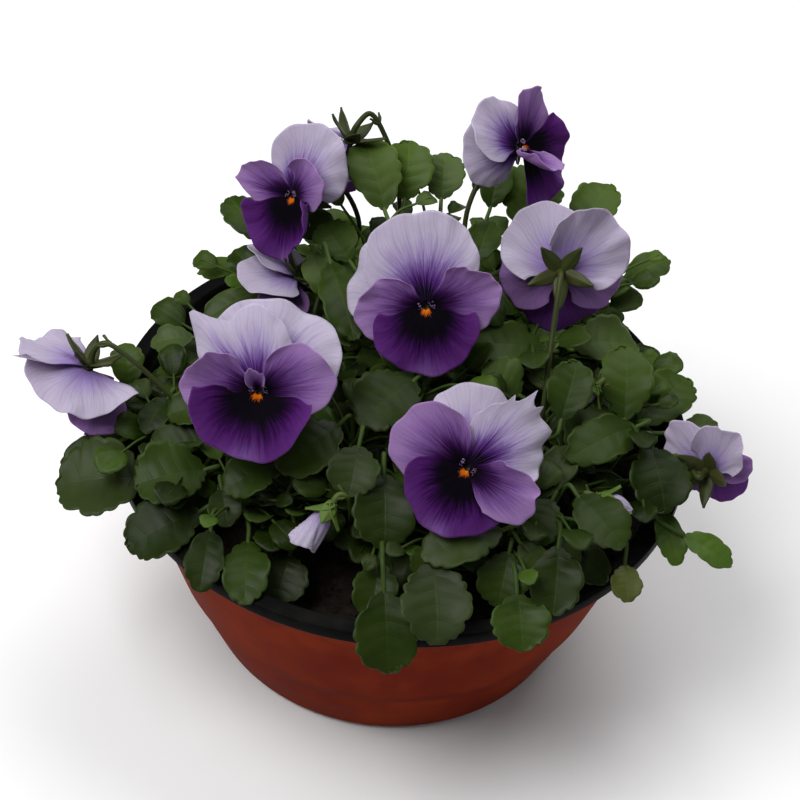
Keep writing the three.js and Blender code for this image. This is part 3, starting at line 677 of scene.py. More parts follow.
# %% [markdown]
# ## Where everything grows
# The tables place the plant, in millimetres and degrees: each leafy stem by its foot in the soil and
# its tip, and each leaf that shows by the base of its blade, its tip and its width.

# %% Stems and leaves
SHOOTS = {
    "left_low": ((-62, -36), (-86, -50, 116)), "left_front": ((-50, -52), (-64, -68, 118)),
    "far_left": ((-78, -16), (-104, -28, 120)), "left_middle": ((-60, -8), (-80, -13, 130)),
    "left_back": ((-62, 14), (-82, 14, 130)), "front_left": ((-34, -50), (-44, -66, 126)),
    "inner_left": ((-16, -34), (-19, -46, 140)), "front_middle": ((-4, -58), (-4, -78, 124)),
    "front_right": ((18, -60), (20, -80, 122)), "right_front": ((38, -64), (48, -80, 122)),
    "right_low": ((54, -48), (64, -66, 130)), "far_right": ((76, -32), (102, -38, 126)),
    "right_middle": ((70, -8), (94, -10, 132)), "inner_right": ((44, -22), (58, -33, 142)),
    "centre": ((8, -14), (8, -22, 150)), "centre_right": ((38, 8), (52, 12, 152)),
    "right_back": ((62, 42), (82, 62, 138)), "back_right": ((34, 46), (42, 60, 164)),
    "back_middle": ((6, 44), (6, 58, 170)), "back_left": ((-16, 36), (-18, 48, 168)),
    "centre_left": ((-28, 10), (-34, 18, 154)), "left_rear": ((-48, 38), (-68, 50, 138))
}
LEAVES = [
    (-102, -55, 118, -137, -58, 112, 34), (-78, -55, 126, -104, -65, 124, 28),
    (-78, -71, 118, -104, -84, 108, 25), (-72, -79, 117, -73, -98, 104, 15),
    (-57, -83, 116, -55, -109, 110, 18), (-40, -87, 114, -43, -105, 106, 20),
    (-48, -61, 140, -67, -73, 134, 18), (-80, -44, 132, -102, -49, 128, 17),
    (-70, -67, 128, -66, -81, 122, 13), (-25, -47, 150, -45, -67, 142, 24),
    (-16, -58, 150, -18, -75, 140, 20), (-5, -67, 144, -6, -92, 130, 24),
    (-78, -27, 136, -96, -31, 132, 16), (-99, -19, 130, -106, -36, 126, 12),
    (-88, -18, 132, -102, -11, 130, 12), (-88, -5, 134, -105, -3, 130, 9),
    (-93, 14, 136, -110, 12, 132, 13), (-117, -9, 126, -121, 5, 136, 14),
    (-122, -32, 124, -152, -38, 120, 13), (-118, -38, 120, -138, -48, 115, 13),
    (-111, -31, 124, -128, -36, 118, 14), (-4, -95, 124, -5, -115, 114, 17),
    (-1, -112, 126, 3, -134, 106, 24), (17, -94, 126, 21, -119, 110, 26),
    (16, -89, 130, 15, -103, 124, 14), (43, -82, 134, 14, -93, 128, 20),
    (47, -88, 128, 44, -105, 116, 20), (66, -82, 128, 65, -103, 114, 20),
    (51, -86, 132, 60, -95, 126, 11), (63, -67, 138, 55, -84, 130, 18), (73, -59, 134, 90, -76, 126, 20),
    (51, -100, 118, 54, -116, 106, 22), (73, -77, 122, 86, -86, 114, 14),
    (104, -34, 140, 113, -58, 130, 24), (98, -22, 140, 70, -46, 142, 20),
    (94, -84, 122, 95, -98, 117, 12), (101, -12, 132, 121, 16, 134, 22), (93, -19, 140, 81, 7, 154, 22),
    (65, -31, 148, 70, -9, 160, 18), (70, -44, 144, 83, -23, 150, 18), (56, -66, 136, 71, -41, 142, 14),
    (119, -63, 120, 138, -71, 114, 12), (110, -52, 122, 117, -73, 114, 12),
    (119, -11, 130, 134, -6, 130, 10), (48, -20, 150, 33, -13, 156, 20), (4, -25, 158, -16, -46, 152, 26),
    (58, 3, 156, 29, -2, 160, 20), (50, 23, 166, 36, 14, 168, 12), (28, 22, 170, 37, 8, 164, 12),
    (-36, 29, 172, -23, -6, 162, 18), (70, 17, 148, 98, 27, 142, 24), (95, 67, 146, 114, 81, 148, 14),
    (-70, 58, 158, -85, 78, 164, 17), (-74, 60, 140, -96, 61, 134, 11), (-67, 35, 148, -88, 22, 140, 13),
    (-15, 55, 182, -34, 81, 194, 22), (-7, 64, 182, -7, 83, 198, 22), (9, 67, 182, 9, 83, 194, 18),
    (31, 72, 176, 34, 88, 188, 14), (43, 67, 172, 54, 92, 184, 26), (71, 79, 160, 85, 106, 168, 20),
    (-28, 36, 168, -41, 51, 174, 18), (-35, 16, 162, -44, 35, 170, 14), (26, 38, 172, 26, 56, 180, 14)
]
print(len(SHOOTS), "leafy stems and", len(LEAVES), "leaves")

# %% [markdown]
# A flower is placed by its throat, the way it faces, the way its upper petals point, and the foot
# and the bends of its stalk. Its petals are the usual ones but for what is given here. A petal
# points to an hour on the flower's face, in degrees. A high fan makes it narrow towards its sides.

# %% Flowers
UPPER_PETALS = [
    dict(clock=-34, length=37, fan=0.6, half=70, tilt=-6, bend=-16, layer=0),
    dict(clock=30, length=38, fan=0.6, half=70, tilt=1, bend=-8, layer=0.9),
]
LOWER_PETALS = [
    dict(clock=180, length=28, fan=0.2, half=80, tilt=7, bend=-14, layer=3.2),
    dict(clock=-92, length=29, fan=1, half=62, tilt=4, bend=-12, layer=2.3),
    dict(clock=84, length=29, fan=1, half=62, tilt=4, bend=-12, layer=2.3),
]
BLOOMS = [
    dict(name="far_left", throat=(-132, -18, 144), face=(-0.3, -0.35, -0.89), top=(-0.87, -0.3, 0.4),
         foot=(-66, -26), bends=[(-91, -23, 128), (-111, -18, 146), (-125, -15, 154.5)], sepals=-30,
         upper=[dict(clock=-42, length=30, fan=0.1, half=56, tilt=0, bend=20),
                dict(clock=58, length=27, fan=0.05, half=84, tilt=14, bend=40)],
         lower=[dict(length=30, tilt=46, bend=34), dict(clock=-106, length=28, tilt=32, bend=38),
                dict(clock=104, length=31, fan=1.4, tilt=32, bend=36)]),
    dict(name="left", throat=(-57, -51, 168), face=(-0.12, -0.66, 0.75), top=(-0.05, 0.7, 0.7),
         foot=(-52, -24), bends=[(-53, -26, 135)], sepals=-25,
         upper=[dict(clock=-22, length=36, fan=0.8, half=62, tilt=6, bend=-6, layer=0.9),
                dict(clock=16, length=42, fan=0.45, half=76, tilt=-6, bend=-16, layer=0)],
         lower=[dict(clock=187, length=28, fan=0.06, half=84),
                dict(clock=-82, length=31, fan=1.7, half=44, tilt=16), dict(clock=74, length=31),
                dict(clock=-4, length=14, fan=4, half=40, tilt=38, bend=20, layer=3.2)]),
    dict(name="centre", throat=(6, -4, 180), face=(-0.03, -0.79, 0.61), top=(-0.1, 0.68, 0.73),
         foot=(-4, 6), bends=[(-3, 8, 140)], sepals=-25,
         upper=[dict(clock=-50, length=38, fan=0.6), dict(clock=-5, length=40, fan=0.5, half=68)],
         lower=[{}, dict(clock=-97), dict(clock=78, length=31, fan=1.3, half=46)]),
    dict(name="right", throat=(61, 21, 184), face=(0.05, 0.87, -0.5), top=(-0.08, 0.5, 0.86),
         foot=(52, -12), bends=[(58, -25, 132), (58, -24, 150), (59, -6, 168)], sepals=-24,
         upper=[dict(clock=-46, tilt=0, bend=24, length=32), dict(clock=32, tilt=8, bend=30, length=31)],
         lower=[dict(tilt=16, bend=12, length=31), dict(tilt=15, bend=24, length=31),
                dict(clock=96, tilt=15, bend=26, length=31)]),
    dict(name="front", throat=(27, -71, 156), face=(0.03, -0.72, 0.69), top=(0, 0.69, 0.72),
         foot=(24, -40), bends=[(25, -42, 128)], sepals=-25,
         upper=[dict(clock=6, length=36, fan=0.9, half=62), dict(clock=58, length=35, fan=1, half=58)],
         lower=[dict(clock=203), dict(clock=-60, length=33, fan=0.9, half=64),
                dict(clock=116, length=32, fan=1.9, half=42, tilt=14, layer=3.2)]),
    dict(name="rear_left", throat=(-53, 50, 190), face=(-0.64, -0.65, 0.4), top=(0.1, 0.68, 0.73),
         foot=(-32, 42), bends=[(-30, 53, 150), (-26, 61, 170), (-37, 65, 187)], sepals=-30,
         upper=[dict(clock=-26, length=31), dict(clock=26, length=33)],
         lower=[dict(length=28), dict(clock=-70, length=27, fan=2.2, half=46, tilt=12),
                dict(clock=62, length=24, half=50, tilt=16)]),
    dict(name="rear_right", throat=(39, 69, 212), face=(0.75, -0.47, 0.46), top=(-0.66, -0.2, 0.72),
         foot=(22, 34), bends=[(21, 48, 160), (21, 57, 188)], sepals=-30,
         upper=[dict(clock=-44, length=26, tilt=-16), dict(clock=6, length=26, tilt=-10)],
         lower=[dict(clock=174, length=30, half=60, tilt=4),
                dict(clock=-122, length=24, tilt=40, bend=30), dict(length=27)]),
    dict(name="back", throat=(-33, 77, 202), face=(-0.38, -0.28, -0.88), top=(-0.9, 0.3, 0.3),
         foot=(-2, 56), bends=[(-8, 68, 166), (-11, 75, 186), (-17, 80, 202), (-25, 84, 212)], sepals=-30,
         upper=[dict(clock=-48, length=24, half=58, tilt=8, bend=24),
                dict(clock=42, length=24, half=58, tilt=14, bend=24)],
         lower=[dict(length=21, half=60, tilt=38, bend=26),
                dict(clock=-98, length=22, half=54, tilt=32, bend=28),
                dict(clock=96, length=22, half=54, tilt=32, bend=28)]),
    dict(name="rear_low", throat=(-50, 35, 158), face=(-0.5, -0.2, -0.84), top=(-0.85, 0.1, 0.5),
         foot=(-44, 12), bends=[(-43, 22, 140), (-40, 35, 157)], sepals=-25,
         upper=[dict(length=27, tilt=4, bend=20), dict(length=27, tilt=11, bend=26)],
         lower=[dict(length=22, tilt=28, bend=20), dict(length=24, tilt=22, bend=26),
                dict(length=24, tilt=22, bend=26)]),
    dict(name="far_right", throat=(127, -42, 137), face=(0.53, 0.79, -0.33), top=(-0.18, 0.64, 0.69),
         foot=(84, -18), bends=[(108, -20, 124), (119, -30, 130)], sepals=-34,
         upper=[dict(clock=-40, length=23, fan=1, half=58, tilt=-6, bend=10),
                dict(clock=34, length=25, fan=2, half=46, tilt=2, bend=10)],
         lower=[dict(clock=172, length=18, tilt=16, bend=12),
                dict(length=18, fan=2.4, half=44, tilt=8, bend=10),
                dict(clock=96, length=20, fan=2, half=46, tilt=10, bend=12)]),
]
BUDS = [
    dict(name="front", throat=(-26, -84, 138), face=(-0.5, -0.5, -0.7), foot=(-18, -62),
         bends=[(-17, -74, 128), (-19, -79, 142)], length=24, open=62, deep=0.0, flare=0.9),
    dict(name="right", throat=(84, -64, 137), face=(0.95, -0.15, -0.3), foot=(70, -46),
         bends=[(74, -58, 130), (78, -63, 137)], length=17, open=68, deep=0.1),
    dict(name="inner", throat=(77, -18, 154), face=(-0.65, -0.75, -0.2), foot=(64, 6),
         bends=[(78, -4, 140), (80, -12, 152)], length=14, open=70, deep=0.2),
]
print(len(BLOOMS), "blooms and", len(BUDS), "buds")

# %% [markdown]
# ## Leaves
# A pansy leaf is a rounded blade with soft scallops along its edge. The midrib lies in a groove, and
# side veins run out to the scallops, with the blade pillowed between them. Each leaf is a grid of
# points: its rows cross the blade and its columns run along it. The edge of the grid carries the
# scallops, and it rises and falls in slow waves. The veins and pillows raise or lower points by a
# few tenths of a millimetre. Each form is a term of its own, and can be turned up or down.

# %% Leaf surface
LEAF = {"tilt": 19, "bend": -38, "cup": 0.5, "notch": 0.13, "full": 1.08, "lobes": (18, 26),
        "facing": (0, -0.3, 1)}
FINE_LEAF = {"scallop": 0.052, "crease": 0.095, "wave": 0.030, "thick": 0.5, "per_lobe": 7, "columns": 17}
LIGHT = np.array([0, -1.07, 1])
VEINS = {"along": 5.5, "slant": 0.72}  # side veins along a leaf, and how far they run forward


def last_corner(width):
    """The number of the corner at a leaf's tip. A wider leaf has more lobes."""
    return 2 * sum(width >= step for step in LEAF["lobes"]) + 5


def even_tone(points, drawn, tint):
    """One tone for all points: a drawn value, the upper side, and a tint."""
    return np.broadcast_to((drawn, 0.0, tint), points.shape)


def leaf_half(share):
    return 0.5 * np.sin(np.pi * np.clip(share, 0, 1) ** 1.15) ** 0.62


def leaf_outline(shape, k, u, phase):
    """Flat place (s, y) on a leaf for a count k along its edge and a share u across it."""
    last = last_corner(shape["width"])
    share = (1 - np.cos(np.pi * k / last)) / 2
    drift = 0.22 * np.sin(1.7 * k + phase * np.where(u < 0, 1.0, 1.6))
    deep = 1 + 0.35 * np.sin(2.3 * k + 2 * phase * np.where(u < 0, 1.4, 1.0))
    broad = FINE_LEAF["scallop"] * (1 - np.abs(np.sin(np.pi * (k + drift) / 2)))
    small = FINE_LEAF["crease"] * deep * (1 - np.abs(np.sin(np.pi * (k + drift))) ** 0.6)
    scallop = 1.025 - broad - small
    forward = 1 + (scallop - 1) * np.abs(u) ** 3
    s = shape["length"] * (0.5 + (share - 0.5) * forward)
    half = np.maximum(shape["width"] * 0.5 * (2 * leaf_half(share)) ** 0.84 * scallop, 0.45)
    return s, u * half, share


def leaf_shell(frame, shape, draw, per_lobe, columns, tint):
    last = last_corner(shape["width"])
    k, u = crossed(np.linspace(0, last, last * per_lobe + 1), np.linspace(-1, 1, columns))
    waves = 2 * math.pi * next(draw)
    s, y, share = leaf_outline(shape, k, u, waves)
    size = shape["length"]
    swell = np.sin(3.3 * np.pi * share + waves * np.where(u < 0, 1.0, 1.7))
    edge = FINE_LEAF["wave"] * size * np.abs(u) ** 3 * swell * np.minimum(4 * share, 1)
    veins = VEINS["along"] * share - VEINS["slant"] * np.abs(u)
    pillow = np.sin(np.pi * veins) ** 2 * (1 - u ** 4) * np.sin(np.pi * share) ** 0.5
    groove = np.exp(-(u / 0.2) ** 2) * (1 - share) ** 0.5
    lift = edge + 0.006 * size * pillow - 0.010 * size * groove
    points = bent(frame, shape, s, y, lift)
    blade = np.stack([u, share, np.full_like(u, shape["width"] / 30)], 2)
    return shell_of(points, FINE_LEAF["thick"], blade, even_tone(points, next(draw), tint))


def given_way(leaf, lift, swing):
    """The frame and the shape of a leaf that gives way by some lift and swing."""
    base, tip = np.array(leaf["base"], float), np.array(leaf["tip"], float)
    along = spun(tip - base, np.array([0.0, 0.0, 1.0]), swing) + LIGHT * lift * 0.4
    frame = {"origin": base + LIGHT * lift * 0.6, **axes_of(along, LEAF["facing"])}
    size = {"length": np.linalg.norm(along) * LEAF["full"], "width": leaf["width"] * LEAF["full"]}
    return frame, {**LEAF, **size}


first = given_way({"base": LEAVES[0][:3], "tip": LEAVES[0][3:6], "width": LEAVES[0][6]}, 0, 0)[1]
print("the first leaf is", round(first["length"], 1), "by", round(first["width"], 1), "mm")

# %% [markdown]
# ## Which way each leaf gave way
# In the frame a leaf that would have crossed a neighbour was moved up or down along the light, or
# swung round. To put the fine leaf in the same place, the points of its outline are tried in each
# such position, and measured against the plain solid: in the right one they lie half a blade's
# thickness under its surface.

# %% Find each leaf
GIVES = sorted(((lift, swing) for lift in range(-14, 15, 2) for swing in range(-24, 25, 8)),
               key=lambda give: abs(give[0]) + abs(give[1]) / 3)
HALF_BLADE, FITS = 0.4, 0.5


def surface_of(nodes):
    """The faces of some plain solids, in millimetres, for measuring to."""
    points, faces = [], []
    for solid in (bpy.data.objects[node] for node in nodes):
        start = len(points)
        points += [solid.matrix_world @ v.co / MM for v in solid.data.vertices]
        faces += [[start + k for k in p.vertices] for p in solid.data.polygons]
    return BVHTree.FromPolygons(points, faces)


def corner_points(frame, shape):
    """The corners that the plain solid of a leaf has, in the middle of its thickness."""
    last = last_corner(shape["width"])
    k = np.arange(1, last, dtype=float)
    share = (1 - np.cos(np.pi * k / last)) / 2
    scale = np.where(k % 2 == 0, 1 - LEAF["notch"], 1.0)
    s = shape["length"] * (0.5 + (share - 0.5) * scale)
    y = shape["width"] * leaf_half(share) * scale
    sides = [bent(frame, shape, s, y), bent(frame, shape, s, -y)]
    ribs = shape["length"] * np.array([0.38, 0.72, 1.0])
    return np.concatenate([*sides, bent(frame, shape, ribs, np.zeros(3))])


def misfit(surface, frame, shape):
    gaps = [surface.find_nearest(Vector(p))[3] for p in corner_points(frame, shape)]
    return max(abs(gap - HALF_BLADE) for gap in gaps)


def settled(surface, leaf):
    """The leaf's frame and shape in the position that the solid has, and how well it fits."""
    tries = ((misfit(surface, *given_way(leaf, *give)), give) for give in GIVES)
    worst, give = min(tries, key=lambda pair: pair[0])
    return worst, given_way(leaf, *give)


print(len(GIVES), "positions to try")

# %% [markdown]
# Each leaf grows on the stem whose tip is nearest to the foot of its blade. Every third stem has
# one leaf more, low down in the shade. A leaf that fits its solid in no position would be left out.

# %% Leaves on their stems
def leafy_stems():
    stems = []
    for name, (foot, tip) in SHOOTS.items():
        stems.append({"name": name, "foot": foot, "foot3": np.array([*foot, soil_at(*foot)]),
                      "tip3": np.array(tip, float), "leaves": []})
    for row in LEAVES:
        base, tip, width = row[:3], row[3:6], row[6]
        nearest = min(stems, key=lambda stem: np.linalg.norm(stem["tip3"] - base))
        nearest["leaves"].append({"base": base, "tip": tip, "width": width, "node": 0.85})
    for number, stem in enumerate(stems):
        if number % 3 == 0:
            stem["leaves"].append(shade_leaf(stem, number))
    return stems


def shade_leaf(stem, number):
    """A lower leaf in the shade, one turn of the leaf spiral after that of the stem before."""
    draw = draws("shade leaf", number)
    turn = math.radians(137.5 * number + 30 * next(draw))
    node = 0.45 + 0.2 * next(draw)
    out = np.array([math.cos(turn), math.sin(turn), 0.15])
    root = stem["foot3"] + (stem["tip3"] - stem["foot3"]) * node
    base = root + out * 17 * (0.8 + 0.4 * next(draw))
    length = 24 * (0.85 + 0.3 * next(draw))
    return {"base": tuple(base), "tip": base + out * length, "width": 17, "node": node}


STEMS = leafy_stems()
for stem in STEMS:
    surface = surface_of(["shoot_" + stem["name"]])
    for leaf in stem["leaves"]:
        leaf["misfit"], (leaf["frame"], leaf["shape"]) = settled(surface, leaf)
    stem["leaves"] = [leaf for leaf in stem["leaves"] if leaf["misfit"] <= FITS]
kept = [leaf["misfit"] for stem in STEMS for leaf in stem["leaves"]]
print(len(kept), "leaves found, worst fit", round(max(kept), 2), "mm")

# %% [markdown]
# ## The look of a leaf
# The upper side is a deep green that is a little glossy, with paler veins, and some leaves get a
# greyish painted sheen. It differs from leaf to leaf, and painted light makes it lighter towards the
# back of the bowl. Painted shade darkens each blade near its base, and a painted highlight lightens
# its margin. The underside is paler and matt. The veins are drawn by the place on the blade: a
# midrib, and side veins that run forward to the edge. A high tint makes a leaf fresh, and a higher
# one makes it wither.

# %% Leaf finish
def leaf_finish():
    made = Finish("pansy leaf", 0.4, Specular_IOR_Level=0.085)
    across, along, width = made.attribute("blade")
    drawn, under, tint = made.attribute("tone")
    side = made.math("ABSOLUTE", across)
    midrib = made.step(made.times(side, width), 0.015, 0.055, 1.0, 0.0)
    wander = made.times(made.noise(260.0, 2.0), 0.10)
    forward = made.minus(made.times(along, VEINS["along"]), made.times(side, VEINS["slant"]))
    count = made.plus(forward, wander)
    phase = made.math("ABSOLUTE", made.minus(made.math("FRACT", count), 0.5))
    side_vein = made.step(phase, 0.40, 0.49)
    fading = made.step(side, 0.10, 0.80, 0.75, 0.0)
    vein = made.math("MAXIMUM", midrib, made.times(side_vein, fading))
    mottled = made.noise(95.0, 4.0, roughness=0.6)
    green = made.mix(made.step(mottled, 0.3, 0.7), (0.0055, 0.0108, 0.0014), (0.0120, 0.0225, 0.0030))
    green = made.mix(made.step(drawn, 0.0, 1.0, 0.0, 0.7), green, (0.027, 0.048, 0.008))
    # painted sheen: some leaves are mixed towards a pale grey-green
    painted_sheen = made.step(made.math("FRACT", made.times(drawn, 7.3)), 0.55, 0.95, 0.0, 0.5)
    green = made.mix(painted_sheen, green, (0.042, 0.060, 0.030))
    # painted shade: each blade is darker near its base
    green = made.mix(made.step(along, 0.05, 0.55, 0.45, 0.0), green, (0.0050, 0.0105, 0.0014))
    # painted highlight: a lighter rim along the margin of each blade
    painted_rim_light = made.step(side, 0.90, 1.0, 0.0, 0.35)
    green = made.mix(made.math("MAXIMUM", made.times(vein, 0.10), painted_rim_light), green, (0.045, 0.078, 0.020))
    # painted light: the leaves are made lighter towards the back of the bowl and darker at the front
    place = made.node("ShaderNodeSeparateXYZ", i0=made.position())
    light = made.step(place.outputs[1], -75 * MM, 90 * MM, 0.70, 2.0)
    green = made.mix(1.0, green, made.vector(light, light, made.times(light, 0.6)), "MULTIPLY")
    young = made.mix(made.step(mottled, 0.3, 0.7), (0.040, 0.080, 0.009), (0.065, 0.115, 0.016))
    green = made.mix(made.step(tint, 0.0, 1.0), green, young)
    withered = made.mix(made.step(mottled, 0.35, 0.65), (0.056, 0.058, 0.012), (0.040, 0.036, 0.010))
    green = made.mix(made.step(tint, 1.0, 2.0), green, withered)
    pale = made.mix(0.55, green, (0.035, 0.058, 0.020))
    made.colour(made.mix(under, green, pale))
    gloss = made.step(mottled, 0.3, 0.75, 0.34, 0.48)
    made.rough(made.plus(gloss, made.times(under, 0.2)))
    fine = made.noise(1500.0, 2.0)
    relief = made.minus(made.times(fine, 0.35), made.times(vein, 0.6))
    made.bump(relief, 0.35, 0.0003)
    return made.material


LEAF_FINISH = leaf_finish()
print("leaf finish ready")

# %% [markdown]
# ## Stems with their leaves
# Each leafy stem carries its leaves on stalks that are grooved in life and drawn round here. The
# stalk runs on under the blade as the midrib. Stems and stalks are swept, the blades are laid out
# as grids, and the whole is one piece, since it grew as one. Three leaves at the right have a tint
# of their own: two are fresh and one withers.

# %% Leafy stems
TINTS = {(94, -84, 122): 1.7, (119, -63, 120): 0.75, (110, -52, 122): 0.6}


def rod_tone(count, drawn, tint):
    return np.tile([drawn, 0.35, tint], (count, 1))


def plain_blade(count):
    return np.tile([0.6, 0.5, 1.0], (count, 1))


def stem_rod(stem):
    line = rising_path(stem["foot"], [stem["tip3"]], 7)
    thick = np.linspace(2.1, 1.35, len(line))
    thick[-1] = 0.7
    return line, thick, plain_blade(len(line)), rod_tone(len(line), 0.8, 0.35)


def leaf_rod(root, frame, shape, steps, places, lift, thick, drawn):
    """A leaf's stalk, which runs on under the blade as its midrib."""
    base = frame["origin"]
    away = base - frame["axis"] * 0.35 * np.linalg.norm(base - root)
    free = smooth_path([root, away, base], steps)
    rib = bent(frame, shape, shape["length"] * places, np.zeros(len(places)), lift)
    line = np.concatenate([free, rib])
    taper = np.concatenate([np.linspace(*thick[0], len(free)), np.linspace(*thick[1], len(places))])
    return line, taper, plain_blade(len(line)), rod_tone(len(line), drawn, 0.35)


def petiole_rod(stem, leaf):
    shape, places = leaf["shape"], np.linspace(0.05, 0.86, 9)
    root = stem["foot3"] + (stem["tip3"] - stem["foot3"]) * leaf["node"]
    lift = -0.030 * shape["length"] * (1 - places) ** 0.5 - 0.25
    thick = np.array([(1.15, 0.95), (0.8, 0.15)]) * (0.75 + 0.25 * shape["width"] / 25)
    return leaf_rod(root, leaf["frame"], shape, 6, places, lift, thick, 0.8)


def leaf_tint(leaf, draw):
    return TINTS.get(leaf["base"], 0.35 * next(draw) ** 3)


for number, stem in enumerate(STEMS):
    draw = draws("leafy stem", number)
    rods = [stem_rod(stem)] + [petiole_rod(stem, leaf) for leaf in stem["leaves"]]
    stalks = swept("stalks", rods, SIDES["stem"], LEAF_FINISH)
    shells = [leaf_shell(leaf["frame"], leaf["shape"], draw, FINE_LEAF["per_lobe"], FINE_LEAF["columns"],
                         leaf_tint(leaf, draw)) for leaf in stem["leaves"]]
    blades = mesh_object("blades", *join_shells(shells), LEAF_FINISH)
    piece = join_objects("leafy_stem_" + stem["name"], [stalks, blades])
    finish_piece(piece, "leaf", "shoot_" + stem["name"])
    stem["piece"] = piece
print("leafy stems have", sum(len(stem["piece"].data.polygons) for stem in STEMS), "faces")

# %% [markdown]
# ## Petals
# Each pansy has five thin petals that overlap: two pale ones behind, two at the sides and a lip. A
# petal is laid out as a fan: rows of points go out from its narrow claw and columns spread to its
# sides. Its edge is ruffled and frayed a little, its sides roll in or out, some edges have a point,
# and fine pleats run along it. The ruffles only push it away from the petals that it lies against.

# %% Petal surface
PETAL = {"thick": 0.45, "rows": 28, "columns": 51}


def petal_shell(frame, shape, side, deep, draw):
    """side is +1 where the petal's edge may curl only forwards and -1 where only backwards."""
    half = math.radians(shape["half"])
    reach, fan = crossed(np.linspace(0.03, 1, PETAL["rows"]) ** 0.9, np.linspace(-1, 1, PETAL["columns"]))
    phase = [2 * math.pi * next(draw) for _ in range(8)]
    waves = 1.6 + 1.6 * next(draw)
    fray = 0.020 * np.sin(8 * fan + phase[0]) + 0.012 * np.sin(19 * fan + phase[1])
    fray += shape.get("ragged", 0.0) * np.clip(fan + 0.1, 0, 1) * np.abs(np.sin(14 * fan + phase[5])) ** 0.4
    turn = fan * half * (1 + 0.05 * np.sin(3 * math.pi * reach + phase[6]) * reach)
    whole = shape["length"] * np.cos(fan * half) ** shape["fan"] * (1 + fray)
    for at, rise, wide in shape.get("points", ()):
        whole = whole * (1 + rise * np.exp(-np.abs(fan - at) / wide))
    radius = whole * reach
    wave = 0.5 + 0.5 * np.sin(waves * math.pi * fan + phase[2] + 0.9 * np.sin(2.3 * fan + phase[3]))
    small = 0.5 + 0.5 * np.sin(3.3 * waves * math.pi * fan + phase[4])
    free = np.clip(0.75 - 1.3 * shape.get("calm", 0) * fan, 0, 1)
    curl = side * shape.get("ruffle", 0.55) * (wave ** 1.5 + 0.25 * small) * free
    for key, towards in (("curl_left", -fan), ("curl_right", fan)):
        curl = curl + shape.get(key, 0.0) * np.clip(0.2 + towards, 0, 1) ** 1.2
    curl = np.where(np.abs(curl) < 1e-3, 1e-3, curl)
    start = whole * shape.get("start", 0.5)
    bend = (whole - start) / curl
    past = np.maximum(radius - start, 0) / bend
    radius = np.minimum(radius, start) + bend * np.sin(past)
    lift = bend * (1 - np.cos(past))
    s, y = radius * np.cos(turn), radius * np.sin(turn)
    pleats = 0.14 * np.sin(23 * fan + phase[5] + 3 * reach) * np.sin(math.pi * reach) * reach
    frill = 0.5 + 0.5 * np.sin(11 * fan + phase[7] + 2.5 * reach)
    pleats = pleats + side * 0.9 * free * reach ** 3 * frill
    dome = side * shape.get("dome", 1.0) * np.sin(math.pi * reach ** 1.3) * (1 - fan ** 2) * 0.8
    throat = side * 0.9 * np.exp(-(reach / 0.16) ** 2)
    points = bent(frame, shape, s, y, lift + pleats + dome - throat)
    blade = np.stack([fan, reach, whole / 30], 2)
    thick = PETAL["thick"] * (1 - 0.45 * reach ** 2)
    return shell_of(points, thick, blade, even_tone(points, next(draw), deep))


print("a petal has", (PETAL["rows"] - 1) * (PETAL["columns"] - 1), "faces a side")

# %% [markdown]
# A petal points to an hour on the face of its flower, in degrees, and lies in a layer above or
# below its neighbours. What a table gives for a petal takes the place of what is usual for it.

# %% Petals on a flower
def clock_frame(flower, clock, layer):
    """The frame of a petal or sepal at a clock angle on a flower's face."""
    axis = spun(flower["top"], flower["face"], -clock)
    return {"origin": flower["throat"] + flower["face"] * layer, "axis": axis,
            "across": np.cross(flower["face"], axis), "out": flower["face"]}


def flower_of(spec):
    face = unit(spec["face"])
    top = np.asarray(spec.get("top", (0, 0, 1)), float)
    top = unit(top - face * np.dot(top, face))
    return {"throat": np.array(spec["throat"], float), "face": face, "top": top}


def petal_shapes(usual, changes, calm, folds):
    """Each petal's shape, with the side of it that stays calm because another petal lies on it."""
    folds = [*folds, *[{}] * len(changes)]
    return [{**usual[min(k, len(usual) - 1)], "calm": calm[k], **change, **folds[k]}
            for k, change in enumerate(changes)]


print("the first bloom faces", flower_of(BLOOMS[0])["face"].round(2))

# %% [markdown]
# ## The colours of a pansy
# The same finish serves every petal. It knows how far out a point is, how far round the fan, and
# which petal it belongs to. The upper two are pale lavender with thin violet veins. The side petals
# are mid purple and the lip deep violet, and both darken towards the throat in feathered rays. At
# the base of the lip is the orange eye, with a ragged edge.

# %% Petal finish
PALE = (0.320, 0.287, 0.365)
FLUSH = (0.200, 0.130, 0.330)
MID = (0.222, 0.132, 0.288)
VIOLET = (0.038, 0.0045, 0.072)
HEART = (0.0014, 0.0005, 0.0024)
ORANGE = (0.420, 0.085, 0.003)
YELLOW = (0.620, 0.230, 0.006)


def petal_veins(made, fan, reach, seed, count, width):
    """Thin lines that fan out from the claw of a petal and wander a little."""
    wander = made.noise(1.0, 0.0, vector=made.vector(made.times(fan, 2.5), made.times(reach, 2.0), seed))
    place = made.plus(made.times(fan, 0.5 * count), made.times(wander, 1.5))
    off = made.math("ABSOLUTE", made.minus(made.math("FRACT", place), 0.5))
    return made.step(off, 0.0, width, 1.0, 0.0)


